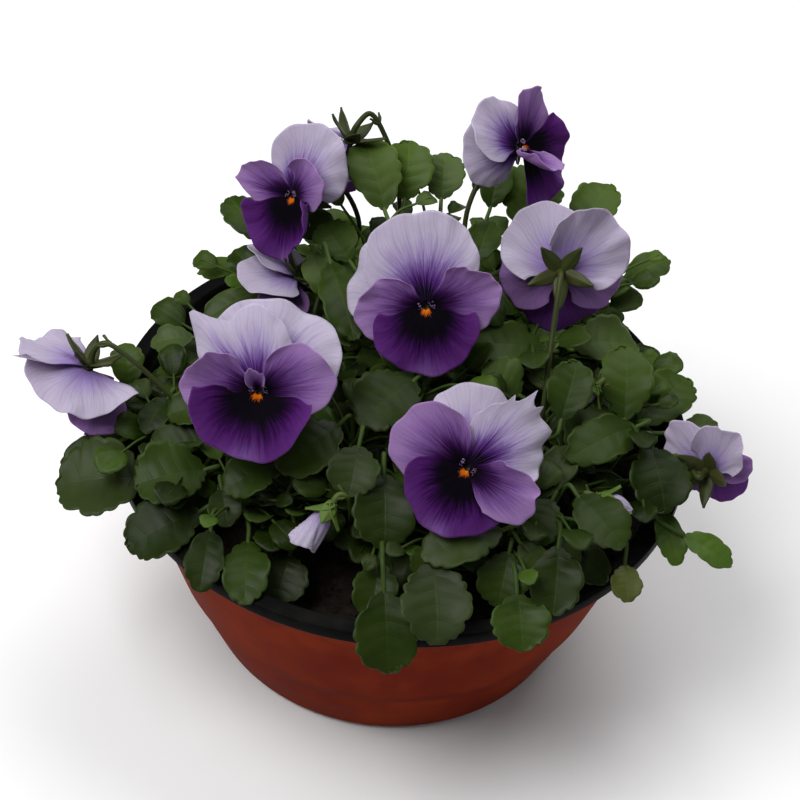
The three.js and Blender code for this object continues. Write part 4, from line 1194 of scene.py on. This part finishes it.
def petal_finish():
    made = Finish("pansy petal", 0.7, Specular_IOR_Level=0.03, Subsurface_Weight=0.5,
                  Subsurface_Scale=0.0012, Subsurface_Radius=(1.0, 0.8, 1.0))
    fan, reach, _ = made.attribute("blade")
    drawn, under, deep = made.attribute("tone")
    side = made.math("ABSOLUTE", fan)
    seed = made.times(drawn, 40.0)
    rays = made.vector(made.times(fan, 9.0), made.times(reach, 0.9), seed)
    feather = made.noise(2.6, 5.0, vector=rays, roughness=0.7)
    cloud = made.noise(60.0, 3.0)
    low, high = made.step(deep, 0.0, 0.5), made.step(deep, 0.5, 1.0)
    ragged = made.plus(reach, made.times(made.minus(feather, 0.5), 0.62))
    vein = made.math("MAXIMUM", petal_veins(made, fan, reach, seed, 13.0, 0.05),
                     made.times(petal_veins(made, fan, reach, seed, 33.0, 0.11),
                                made.step(reach, 0.40, 0.62, 0.0, 0.6)))
    # the pale upper petals, with a violet flush at the base
    pale = made.mix(made.step(cloud, 0.35, 0.7, 0.0, 1.0), PALE, tuple(1.16 * c for c in PALE))
    upper = made.mix(made.step(ragged, 0.38, 0.84, 0.85, 0.0), pale, FLUSH)
    upper = made.mix(made.step(ragged, 0.30, 0.60, 1.0, 0.0), upper, (0.056, 0.014, 0.120))
    upper = made.mix(made.step(ragged, 0.16, 0.36, 1.0, 0.0), upper, HEART)
    fading = made.step(reach, 0.30, 1.0, 0.60, 0.20)
    upper = made.mix(made.times(vein, fading), upper, (0.100, 0.040, 0.22))
    # the side petals and the lip, darker towards the throat
    rim_tone = made.mix(made.step(ragged, 0.62, 0.95, 0.55, 0.0), MID, (0.115, 0.040, 0.200))
    rim_tone = made.mix(high, rim_tone, (0.068, 0.016, 0.110))
    stripe = made.times(made.step(side, 0.02, 0.26, 1.0, 0.0), made.step(reach, 0.60, 0.95))
    rim_tone = made.mix(made.times(made.times(stripe, high), 0.6), rim_tone, (0.17, 0.085, 0.26))
    inner_to = made.plus(0.53, made.times(high, 0.31))
    dark_to = made.plus(0.36, made.times(high, 0.26))
    inner = made.step(made.minus(ragged, inner_to), -0.24, 0.26, 1.0, 0.0)
    dark = made.step(made.minus(ragged, dark_to), -0.20, 0.18, 1.0, 0.0)
    lower = made.mix(inner, rim_tone, VIOLET)
    faint = made.times(vein, made.step(reach, 0.45, 1.0, 0.60, 0.16))
    lower = made.mix(faint, lower, made.mix(inner, (0.060, 0.014, 0.130), HEART))
    lower = made.mix(dark, lower, HEART)
    colour = made.mix(low, upper, lower)
    eye_edge = made.plus(made.times(made.minus(feather, 0.5), 0.34), reach)
    eye_reach = made.times(high, made.step(side, 0.35, 0.85, 0.115, 0.04))
    eye = made.step(made.minus(eye_edge, eye_reach), -0.015, 0.015, 1.0, 0.0)
    iris = made.mix(made.step(feather, 0.45, 0.8), ORANGE, YELLOW)
    colour = made.mix(made.times(eye, low), colour, iris)
    # the backs are paler, with the same veins
    outer = made.mix(low, PALE, made.mix(high, (0.185, 0.100, 0.250), (0.085, 0.026, 0.140)))
    deeper = made.mix(high, (0.055, 0.018, 0.105), (0.030, 0.006, 0.055))
    deeper = made.mix(low, (0.190, 0.120, 0.330), deeper)
    back = made.mix(made.step(ragged, 0.18, 0.78, 0.9, 0.0), outer, deeper)
    back = made.mix(made.times(vein, made.step(reach, 0.3, 1.0, 0.6, 0.25)), back,
                    made.mix(low, (0.110, 0.055, 0.230), deeper))
    made.colour(made.mix(under, colour, back))
    crepe = made.noise(1.0, 4.0, vector=made.vector(made.times(fan, 60.0), made.times(reach, 9.0), drawn))
    made.bump(crepe, 0.3, 0.0004)
    return made.material


PETAL_FINISH = petal_finish()
print("petal finish ready")

# %% [markdown]
# ## Stalks and sepals
# The flower's stalk is smooth, and hooks over at the top, where five narrow green sepals hold the
# petals from behind. Each sepal goes on a little past its foot as a blunt ear. Two small bracts sit
# below the hook. The stalk is swept along the same path as in the frame.

# %% Stalks
SEPAL = {"length": 16, "width": 6.4, "widest": 0.42, "bend": -8, "notch": 2.8, "cup": 0, "thick": 0.5}
STALK = {"level": -1.05, "neck": 7, "bracts": 0.66}


def stalk_line(spec, flower):
    end = flower["throat"] + flower["face"] * STALK["level"]
    behind = end - flower["face"] * STALK["neck"]
    return rising_path(spec["foot"], [*spec["bends"], behind, end], 8)


def stalk_finish():
    made = Finish("pansy stalk", 0.45, Specular_IOR_Level=0.14)
    drawn, _, tint = made.attribute("tone")
    streak = made.noise(45.0, 3.0)
    green = made.mix(made.step(streak, 0.3, 0.7), (0.015, 0.020, 0.0050), (0.034, 0.040, 0.0110))
    green = made.mix(made.step(drawn, 0.0, 1.0, 0.0, 0.6), green, (0.040, 0.030, 0.012))
    fresh = made.mix(made.step(streak, 0.3, 0.7), (0.040, 0.076, 0.011), (0.066, 0.108, 0.019))
    made.colour(made.mix(tint, green, fresh))
    made.bump(made.noise(600.0, 2.0), 0.2, 0.0002)
    return made.material


STALK_FINISH = stalk_finish()
print("stalk finish ready")

# %% [markdown]
# Sepals and bracts are narrow pointed blades. They are sheets like the leaves, bent from their
# foot, and they are joined to the stalk that carries them.

# %% Sepals and bracts
def pointed_half(share, widest):
    """Half the width of a narrow pointed blade, with its widest place at a share of its length."""
    share = np.clip(share, 0, 1)
    rising = np.sin(0.5 * np.pi * np.minimum(share / widest, 1)) * 0.45 + 0.55
    falling = np.cos(0.5 * np.pi * np.clip((share - widest) / (1 - widest), 0, 1)) ** 0.9
    return rising * np.where(share > widest, falling, 1)


def sepal_shell(frame, shape, draw, fresh):
    share, u = crossed(np.linspace(0, 1, 15), np.linspace(-1, 1, 9))
    s = shape["length"] * (share * 1.12 - 0.12)
    half = np.maximum(0.5 * shape["width"] * pointed_half(share, shape["widest"]), 0.25)
    wave = 0.25 * np.sin(7 * share + 6 * next(draw)) * np.abs(u)
    lift = 0.5 * u * u - 0.35 * np.exp(-(u / 0.2) ** 2) + wave
    points = bent(frame, shape, s, u * half, lift)
    blade = np.stack([u, share, np.ones_like(u)], 2)
    return shell_of(points, SEPAL["thick"], blade, even_tone(points, next(draw), fresh))


def sepals_of(spec, flower, draw, fresh):
    shape = {**SEPAL, "tilt": spec.get("sepals", 44), **spec.get("sepal", {})}
    base = STALK["level"] - shape["notch"] * math.sin(math.radians(shape["tilt"]))
    return [sepal_shell(clock_frame(flower, 72 * (k + 0.5), base - 0.15), shape, draw, fresh)
            for k in range(5)]


def bracts_of(line, draw):
    """Two small pointed bracts on opposite sides of a stalk."""
    at = int(STALK["bracts"] * (len(line) - 1))
    axis = unit(line[at + 1] - line[at - 1])
    side = unit(np.cross(axis, (0.3, -0.2, 1.0)))
    shells = []
    for sign in (1, -1):
        frame = axes_of(axis + 0.5 * sign * side, sign * side)
        frame["origin"] = line[at] + sign * side * 0.8
        shape = {"length": 4.5, "width": 1.4, "widest": 0.3, "tilt": 0, "bend": 10, "cup": 0}
        shells.append(sepal_shell(frame, shape, draw, 0.3))
    return shells


def stalk_piece(name, spec, flower, draw, fresh):
    line = stalk_line(spec, flower)
    thick = 1.45 - 0.35 * np.sin(np.linspace(0, np.pi, len(line)))
    thick[-3:] = (1.5, 1.9, 2.2)
    count = len(line)
    rods = [(line, thick, plain_blade(count), np.tile([next(draw), 0, 0.6 * fresh], (count, 1)))]
    stalk = swept("stalk", rods, SIDES["stalk"], STALK_FINISH)
    shells = sepals_of(spec, flower, draw, fresh) + bracts_of(line, draw)
    return join_objects(name, [stalk, mesh_object("sepals", *join_shells(shells), STALK_FINISH)])


print("sepal", SEPAL["length"], "by", SEPAL["width"], "mm")

# %% [markdown]
# ## The blooms
# Every bloom is three pieces, one for each colour that holds together: the stalk with its sepals,
# the pale upper petals, and the violet side petals with the lip. The upper petals may ruffle only
# backwards and the lower ones only forwards, so that they don't run through each other. The next
# table gives what the petals of each bloom do at their edges, the upper ones first: how strongly
# they ruffle, curl at a side or cup, and where an edge has a point.

# %% Folds of the petals
FOLDS = {
    "far_left": ([dict(points=[(-0.9, 0.2, 0.1)], ruffle=0.7), dict(ruffle=0.7, dome=0.5)],
                 [dict(cup=0.6, half=54), dict(tilt=16), dict(tilt=16, curl_right=0.6)]),
    "left": ([dict(points=[(0.34, 0.34, 0.12), (0.08, -0.13, 0.12)], curl_right=-0.5, ruffle=0.5),
              dict(ruffle=0.5)],
             [dict(ruffle=0.5, cup=0.5), dict(curl_left=1.1, ruffle=0.7), dict(curl_right=0.4),
              dict(curl_left=0.9, curl_right=0.9)]),
    "centre": ([dict(ruffle=0.7), dict(ruffle=0.5)],
               [dict(ruffle=0.5), dict(curl_left=0.35), dict(curl_right=0.9)]),
    "right": ([dict(curl_left=-1.1, start=0.3), dict(ruffle=0.8)], [dict(cup=0.8), {}, {}]),
    "front": ([dict(ruffle=0.5),
               dict(points=[(-0.1, 0.16, 0.1), (0.2, 0.12, 0.03), (0.36, 0.26, 0.05), (0.52, 0.14, 0.03)],
                    ragged=0.04, ruffle=0.8)],
              [dict(ruffle=0.4), dict(ruffle=0.7, ragged=0.02), dict(curl_right=1.4)]),
    "rear_left": ([dict(curl_right=-0.9), dict(curl_left=-1.1, curl_right=0.5)],
                  [dict(curl_right=1.3, ruffle=0.8, cup=0.3),
                   dict(curl_left=0.8, points=[(0.2, 0.25, 0.15)]), dict(curl_right=0.8)]),
    "rear_right": ([dict(ruffle=0.5, cup=-0.4), dict(curl_left=0.3, ruffle=0.6)],
                   [dict(ruffle=0.6), dict(curl_left=1.1, curl_right=0.9), dict(curl_right=0.5)]),
    "back": ([], [dict(cup=0.6), dict(tilt=20), dict(tilt=20)]),
    "rear_low": ([], [dict(cup=0.75), dict(tilt=16), dict(tilt=16)]),
    "far_right": ([dict(curl_left=-0.8), dict(ruffle=0.8)],
                  [dict(cup=0.3), dict(curl_left=0.8), dict(curl_right=0.8)]),
}
print(len(FOLDS), "blooms have folds of their own")

# %% [markdown]
# At the foot of the side petals stand short pale hairs, the beard. They are swept like the stalks.

# %% Blooms
SIDE_PETAL, LIP = 0.5, 1.0
BEARD = {"hairs": 18, "length": 1.5, "thick": 0.13}


def petals_piece(name, flower, shapes, sides, deeps, draw):
    shells = [petal_shell(clock_frame(flower, shape["clock"], shape["layer"]), shape, side, deep, draw)
              for shape, side, deep in zip(shapes, sides, deeps)]
    return mesh_object(name, *join_shells(shells), PETAL_FINISH)


def beard_rods(flower, shape, draw):
    """The short pale hairs at the foot of a side petal."""
    frame = clock_frame(flower, shape["clock"], shape["layer"] - 0.4)
    rods = []
    for _ in range(BEARD["hairs"]):
        reach = shape["length"] * (0.07 + 0.06 * next(draw))
        turn = math.radians(shape["half"]) * (1.2 * next(draw) - 0.6)
        foot = bent(frame, shape, np.array([reach * math.cos(turn)]), np.array([reach * math.sin(turn)]))[0]
        lean = (next(draw) - 0.5) * frame["across"] - 0.6 * frame["axis"] + 1.2 * frame["out"]
        tip = foot + unit(lean) * BEARD["length"] * (0.6 + 0.6 * next(draw))
        line = np.array([foot, 0.5 * (foot + tip) + 0.15 * frame["out"], tip])
        thick = BEARD["thick"] * np.array([1.0, 0.8, 0.3])
        rods.append((line, thick, np.tile([0.9, 1.0, 1.0], (3, 1)), np.tile([next(draw), 0, 0.5], (3, 1))))
    return rods


for number, spec in enumerate(BLOOMS):
    draw = draws("bloom", number)
    flower = flower_of(spec)
    name = "bloom_" + spec["name"]
    stalk = stalk_piece("stalk_of_" + name, spec, flower, draw, 0.12)
    finish_piece(stalk, "stalk", name + "_stalk")
    upper_folds, lower_folds = FOLDS[spec["name"]]
    shapes = petal_shapes(UPPER_PETALS, spec["upper"], (0, 1), upper_folds)
    upper = petals_piece("upper_petals_of_" + name, flower, shapes, [-1, -1], [0.0, 0.0], draw)
    finish_piece(upper, "pale_petal", name + "_upper")
    shapes = petal_shapes(LOWER_PETALS, spec["lower"], (0, 1, -1, 0), lower_folds)
    deeps = [LIP, *[SIDE_PETAL] * (len(shapes) - 1)]
    lower = petals_piece("lower_petals", flower, shapes, [1] * len(shapes), deeps, draw)
    hairs = [rod for shape in shapes[1:3] for rod in beard_rods(flower, shape, draw)]
    beard = swept("beard", hairs, SIDES["hair"], PETAL_FINISH)
    lower = join_objects("lower_petals_of_" + name, [lower, beard])
    finish_piece(lower, "violet_petal", name + "_lower")
print("blooms done")

# %% [markdown]
# ## The buds
# A bud's petals are still rolled round each other. It is a spindle whose section is a spiral with
# three steps, where one petal's edge shows over the next. The front bud is half open: it flares
# into a bell, with the dark inside of the petals at its mouth.

# %% Buds
BUD = {"notch": 4.6, "bend": 26, "sepal": {"length": 11, "tilt": 44, "notch": 3.4}}


def bud_shell(flower, spec, draw):
    length, start = spec["length"], math.radians(spec["open"])
    turn = math.radians(BUD["bend"])
    radius = length / turn
    base = -BUD["notch"] * math.sin(start)
    top = base + radius * (math.cos(start) - math.cos(start + turn))
    rows, columns = 36, 60
    t, a = crossed(np.linspace(0, 1, rows), np.linspace(0, 2 * np.pi, columns, endpoint=False))
    wide = 0.26 * length
    flare = spec.get("flare", 0.0)
    mouth = np.clip((t - 0.90) / 0.10, 0, 1)
    closed = np.where(t < 0.5, np.sin(np.pi * t), np.cos(np.pi * (t - 0.5) * 0.93) ** 0.8)
    bell = (0.34 + 0.86 * t ** 0.9) * (1 - 0.75 * mouth) * np.sin(0.5 * np.pi * np.minimum(t / 0.35, 1))
    body = (1 - flare) * closed + flare * bell
    spiral = (3 * (a + 1.5 * t) / (2 * np.pi)) % 1
    step = 1 - 0.20 * spiral * t + 0.05 * np.sin(11 * a + 5 * t) * t
    r = np.maximum(wide * body * step, 0.35)
    lean = 0.06 * length * t ** 2
    z = base + (top - base) * (t - 0.2 * flare * mouth) + 0.05 * length * (spiral - 0.5) * t ** 3
    z = z + flare * 0.07 * length * np.sin(2 * a + 1) * t ** 4
    across = np.cross(flower["face"], flower["top"])
    points = (flower["throat"] + (r * np.cos(a) + lean)[..., None] * flower["top"]
              + (r * np.sin(a))[..., None] * across + z[..., None] * flower["face"])
    points = points.reshape(-1, 3)
    number = np.arange(rows * columns).reshape(rows, columns)
    faces = quads(np.concatenate([number, number[:, :1]], 1))
    caps = [list(number[0]), list(number[-1][::-1])]
    blade = np.stack([(2 * spiral - 1), 0.35 + 0.65 * t, np.full_like(t, 0.8)], 2).reshape(-1, 3)
    deep = spec["deep"] + (0.8 - spec["deep"]) * flare * mouth
    tone = np.stack([np.full_like(t, next(draw)), np.zeros_like(t), deep], 2).reshape(-1, 3)
    return points, faces.tolist() + caps, blade, tone


def bud_piece(name, flower, spec, draw):
    made = mesh_object(name, *bud_shell(flower, spec, draw), PETAL_FINISH)
    face_outwards(made)
    return made


for number, spec in enumerate(BUDS):
    draw = draws("bud", number)
    bud = {**spec, "sepal": BUD["sepal"]}
    flower = flower_of(bud)
    name = "bud_" + spec["name"]
    finish_piece(stalk_piece("stalk_of_" + name, bud, flower, draw, 1.0), "stalk", name + "_stalk")
    finish_piece(bud_piece("petals_of_" + name, flower, bud, draw), "pale_petal", name + "_petals")
print("buds done")

# %% [markdown]
# ## Young leaves
# Between the leaves that show, every stem carries many smaller ones, one turn of the leaf spiral
# after another, and they fill the gaps down to the soil. A few short stems near the back of the
# bowl carry such leaves too, where the photograph doesn't reach. First come the tests that a leaf
# has to pass: it keeps clear of the solids, of its neighbours, the soil and the bowl.

# %% Keeping clear
YOUNG = {"per_stem": 64, "spiral": 137.5, "length": (11, 25), "stalk": (7, 30), "clear": 0.9,
         "flatter": (0.55, 0.2, 0.9), "per_lobe": 3, "columns": 5}
WALL_FROM = 105  # the young leaves keep off the bowl's wall and rim from here on
YOUNG_SHAPE = {"length": 1.0, "width": 0.86, "tilt": 15, "bend": -40, "cup": 0.5}


def coarse_blade(frame, size):
    """A few points of a young leaf with the faces between them, to test it with."""
    share, u = crossed(np.linspace(0.04, 1, 7), np.linspace(-1, 1, 5))
    shape = {**YOUNG_SHAPE, "length": size}
    half = YOUNG_SHAPE["width"] * size * leaf_half(share)
    points = bent(frame, shape, share * size, u * half)
    return points.reshape(-1, 3), quads(np.arange(share.size).reshape(share.shape))


def clear_of(obstacles, points, faces, gap):
    blade = BVHTree.FromPolygons(points.tolist(), faces.tolist())
    middle = points.mean(0)
    reach = np.linalg.norm(points - middle, axis=1).max()
    for tree, centre, size in obstacles:
        if centre is not None and np.linalg.norm(centre - middle) > reach + size + gap:
            continue
        if blade.overlap(tree):
            return None
        if any(tree.find_nearest(Vector(p), gap)[0] is not None for p in points):
            return None
    return blade, middle, reach


def above_ground(points):
    away = np.hypot(points[:, 0], points[:, 1])
    ground = SOIL["middle"] - 4 * (away / SOIL["radius"]) ** 2 + 3
    in_bowl = (away > WALL_FROM) & (points[:, 2] < BOWL["height"] + 1.5)
    return not (np.any(points[:, 2] < ground) or np.any(in_bowl))


def inside_box(points, box):
    low, high = np.array(box[0]) / MM, np.array(box[1]) / MM
    return np.all(points > low) and np.all(points < high)


SOLIDS = {node if isinstance(node, str) else node["name"] for node in frame["nodes"]} - {"soil"}
solids = surface_of(sorted(SOLIDS))
print(len(SOLIDS), "solids to keep clear of")

# %% [markdown]
# For each place on a stem a small leaf is tried, flatter or steeper, and it is kept where it passes.

# %% Places for young leaves
def tufts(angles, radius, height):
    """Short young stems near the back of the bowl, which the photograph doesn't show."""
    made = []
    for angle in np.radians(angles):
        foot = radius * np.array([math.cos(angle), math.sin(angle)])
        made.append({"foot": tuple(foot), "tip3": np.array([*(foot * 1.1), height])})
    return made


TUFTS = tufts(angles=(18, 42, 66, 90, 112), radius=84, height=124)


def young_leaves():
    obstacles = [(solids, None, 0.0)]
    found = []
    for number, stem in enumerate([*STEMS, *TUFTS]):
        draw = draws("young leaves", number)
        line = rising_path(stem["foot"], [stem["tip3"]], 24)[2:]
        for k in range(YOUNG["per_stem"]):
            share = 0.16 + 0.84 * k / (YOUNG["per_stem"] - 1)
            root = line[int(share * (len(line) - 1))]
            turn = math.radians(YOUNG["spiral"] * k + 50 * next(draw))
            low, high = YOUNG["length"]
            size = (low + (high - low) * next(draw) ** 1.3) * (1.08 - 0.35 * share)
            rise = 0.25 + 0.75 * next(draw)
            way = unit((math.cos(turn), math.sin(turn) - 0.25, rise))
            reach = YOUNG["stalk"][0] + (YOUNG["stalk"][1] - YOUNG["stalk"][0]) * next(draw)
            base = root + way * reach
            lean = (0.5 * (next(draw) - 0.5), -0.35 + 0.4 * (next(draw) - 0.5), 1.0)
            for flatter in YOUNG["flatter"]:
                along = way * (1, 1, flatter)
                frame = {"origin": base, **axes_of(along, lean)}
                points, faces = coarse_blade(frame, size)
                if not above_ground(points) or not inside_box(points, cad_box):
                    continue
                spot = clear_of(obstacles, points, faces, YOUNG["clear"])
                if spot:
                    obstacles.append(spot)
                    found.append({"frame": frame, "size": size, "root": root, "drawn": next(draw)})
                    break
    return found


young = young_leaves()
print(len(young), "young leaves")

# %% [markdown]
# A geometry tree sets a copy of one of a few leaf shapes on each place that was kept. It turns and
# sizes the copy, and gives it a tone of its own.

# %% The recipe for young leaves
def young_recipe(kinds):
    """Sets a copy of one of some leaf shapes on each point of a mesh."""
    recipe = Recipe("young leaves", {"Growth": "Float"})
    gather = recipe.tree.nodes.new("GeometryNodeGeometryToInstance")
    for kind in reversed(kinds):
        shape = recipe.node("GeometryNodeObjectInfo", Object=kind)
        recipe.tree.links.new(shape["Geometry"], gather.inputs[0])
    size = recipe.node("ShaderNodeVectorMath", {"operation": "SCALE"},
                       i0=recipe.named("size", "FLOAT_VECTOR"), i3=recipe.given["Growth"])
    turn = recipe.node("FunctionNodeEulerToRotation", i0=recipe.named("turn", "FLOAT_VECTOR"))
    leaves = recipe.node("GeometryNodeInstanceOnPoints", Points=recipe.given["Geometry"],
                         Instance=gather.outputs[0], Pick_Instance=True,
                         Instance_Index=recipe.named("kind", "INT"), Scale=size[0], Rotation=turn[0])
    real = recipe.node("GeometryNodeRealizeInstances", Geometry=leaves[0])
    side = recipe.node("ShaderNodeSeparateXYZ", i0=recipe.named("tone", "FLOAT_VECTOR"))
    own = recipe.node("ShaderNodeSeparateXYZ", i0=recipe.named("given", "FLOAT_VECTOR"))
    tone = recipe.node("ShaderNodeCombineXYZ", i0=own[0], i1=side[1], i2=own[2])
    toned = recipe.node("GeometryNodeStoreNamedAttribute",
                        {"data_type": "FLOAT_VECTOR", "domain": "POINT"}, Geometry=real[0], Name="tone",
                        Value=tone[0])
    return recipe.finish(toned[0])


print("the recipe for young leaves is ready")

# %% [markdown]
# The copies are of four leaf shapes, which differ in width and bend. All young leaves in front are
# one piece, with their stalks, and so are those in the middle and at the back.

# %% Young leaves
def leaf_kinds(count):
    """A few leaves one unit long, from their base along X, facing up along Z."""
    flat = {"origin": np.zeros(3), **dict(zip(("axis", "across", "out"), np.eye(3)))}
    kinds = []
    for k in range(count):
        shape = {**YOUNG_SHAPE, "length": 20.0, "width": 17.0 + 1.5 * (k % 3 - 1), "bend": -26 - 12 * k}
        draw = draws("leaf kind", k)
        points, *rest = leaf_shell(flat, shape, draw, YOUNG["per_lobe"], YOUNG["columns"], 0.0)
        kinds.append(mesh_object("leaf_kind", points / shape["length"] / MM, *rest, LEAF_FINISH))
    return kinds


def young_piece(name, leaves):
    """One piece with a copy of a leaf shape for each place."""
    axes = [leaf["frame"] for leaf in leaves]
    turns = [Matrix((at["axis"], at["across"], at["out"])).transposed().to_euler() for at in axes]
    drawn = np.array([leaf["drawn"] for leaf in leaves])
    mesh = plain_mesh(name, [at["origin"] for at in axes])
    store(mesh, "turn", [turn[:] for turn in turns])
    store(mesh, "size", [[leaf["size"] * MM] * 3 for leaf in leaves])
    store(mesh, "given", np.stack([drawn, 0 * drawn, 0.9 * drawn ** 6], 1))
    store(mesh, "kind", np.arange(len(leaves)) % len(KINDS), "INT")
    return YOUNG_RECIPE.grow(name, mesh, 1.0, LEAF_FINISH)


def young_stalk(leaf):
    shape = {**YOUNG_SHAPE, "length": leaf["size"]}
    places, thick = np.array([0.1, 0.3, 0.5, 0.7]), ((0.75, 0.6), (0.5, 0.15))
    return leaf_rod(leaf["root"], leaf["frame"], shape, 4, places, -0.35, thick, leaf["drawn"])


KINDS = leaf_kinds(4)
YOUNG_RECIPE = young_recipe(KINDS)
for place, near, far in (("front", -200, -10), ("middle", -10, 52), ("back", 52, 200)):
    leaves = [leaf for leaf in young if near <= leaf["root"][1] < far]
    blades = young_piece("young_blades", leaves)
    rods = [young_stalk(leaf) for leaf in leaves] + [stem_rod(tuft) for tuft in TUFTS if place == "back"]
    stalks = swept("young_stalks", rods, SIDES["young stalk"], LEAF_FINISH)
    piece = join_objects("young_leaves_" + place, [blades, stalks])
    finish_piece(piece, "leaf")
    print(piece.name, "has", len(piece.data.polygons), "faces")
for kind in KINDS:
    bpy.data.objects.remove(kind)

# %% [markdown]
# ## Light, floor and background
# The planter stands on a plain pale floor in front of nothing, in soft light from above and a
# little from the left, as in a plain product photograph.

# %% Stage
def floor_piece():
    mesh = plain_mesh("floor", [(-6000, -6000, 0), (6000, -6000, 0), (6000, 6000, 0), (-6000, 6000, 0)],
                      [(0, 1, 2, 3)])
    made = Finish("pale floor", 0.9)
    made.shader.inputs["Base Color"].default_value = (0.80, 0.80, 0.80, 1)
    mesh.materials.append(made.material)
    placed("floor", mesh)


def softbox(name, place, size, power):
    data = bpy.data.lights.new(name, "AREA")
    data.shape, data.size, data.energy = "SQUARE", size, power
    light = placed(name, data)
    light.location = place
    light.rotation_euler = (Vector((0, 0, 0.12)) - Vector(place)).to_track_quat("-Z", "Y").to_euler()


floor_piece()
softbox("key", (-0.7, -0.35, 1.4), size=0.9, power=24.0)
softbox("top", (0.35, 0.7, 1.5), size=1.2, power=17.0)
world = bpy.data.worlds.new("soft white")
world.use_nodes = True
world.node_tree.nodes["Background"].inputs["Color"].default_value = (0.94, 0.96, 1.0, 1)
world.node_tree.nodes["Background"].inputs["Strength"].default_value = 0.25
bpy.context.scene.world = world
bpy.context.scene.view_settings.view_transform = "Standard"
bpy.context.scene.view_settings.look = "None"
print("stage set")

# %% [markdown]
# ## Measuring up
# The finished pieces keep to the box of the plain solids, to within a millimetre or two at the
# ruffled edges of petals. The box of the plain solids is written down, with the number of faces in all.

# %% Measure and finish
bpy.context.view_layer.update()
print("box of the solids", [round(v, 4) for c in cad_box for v in c])
faces = sum(len(o.data.polygons) for o in bpy.context.scene.objects if o.type == "MESH")
print("faces in all", faces)
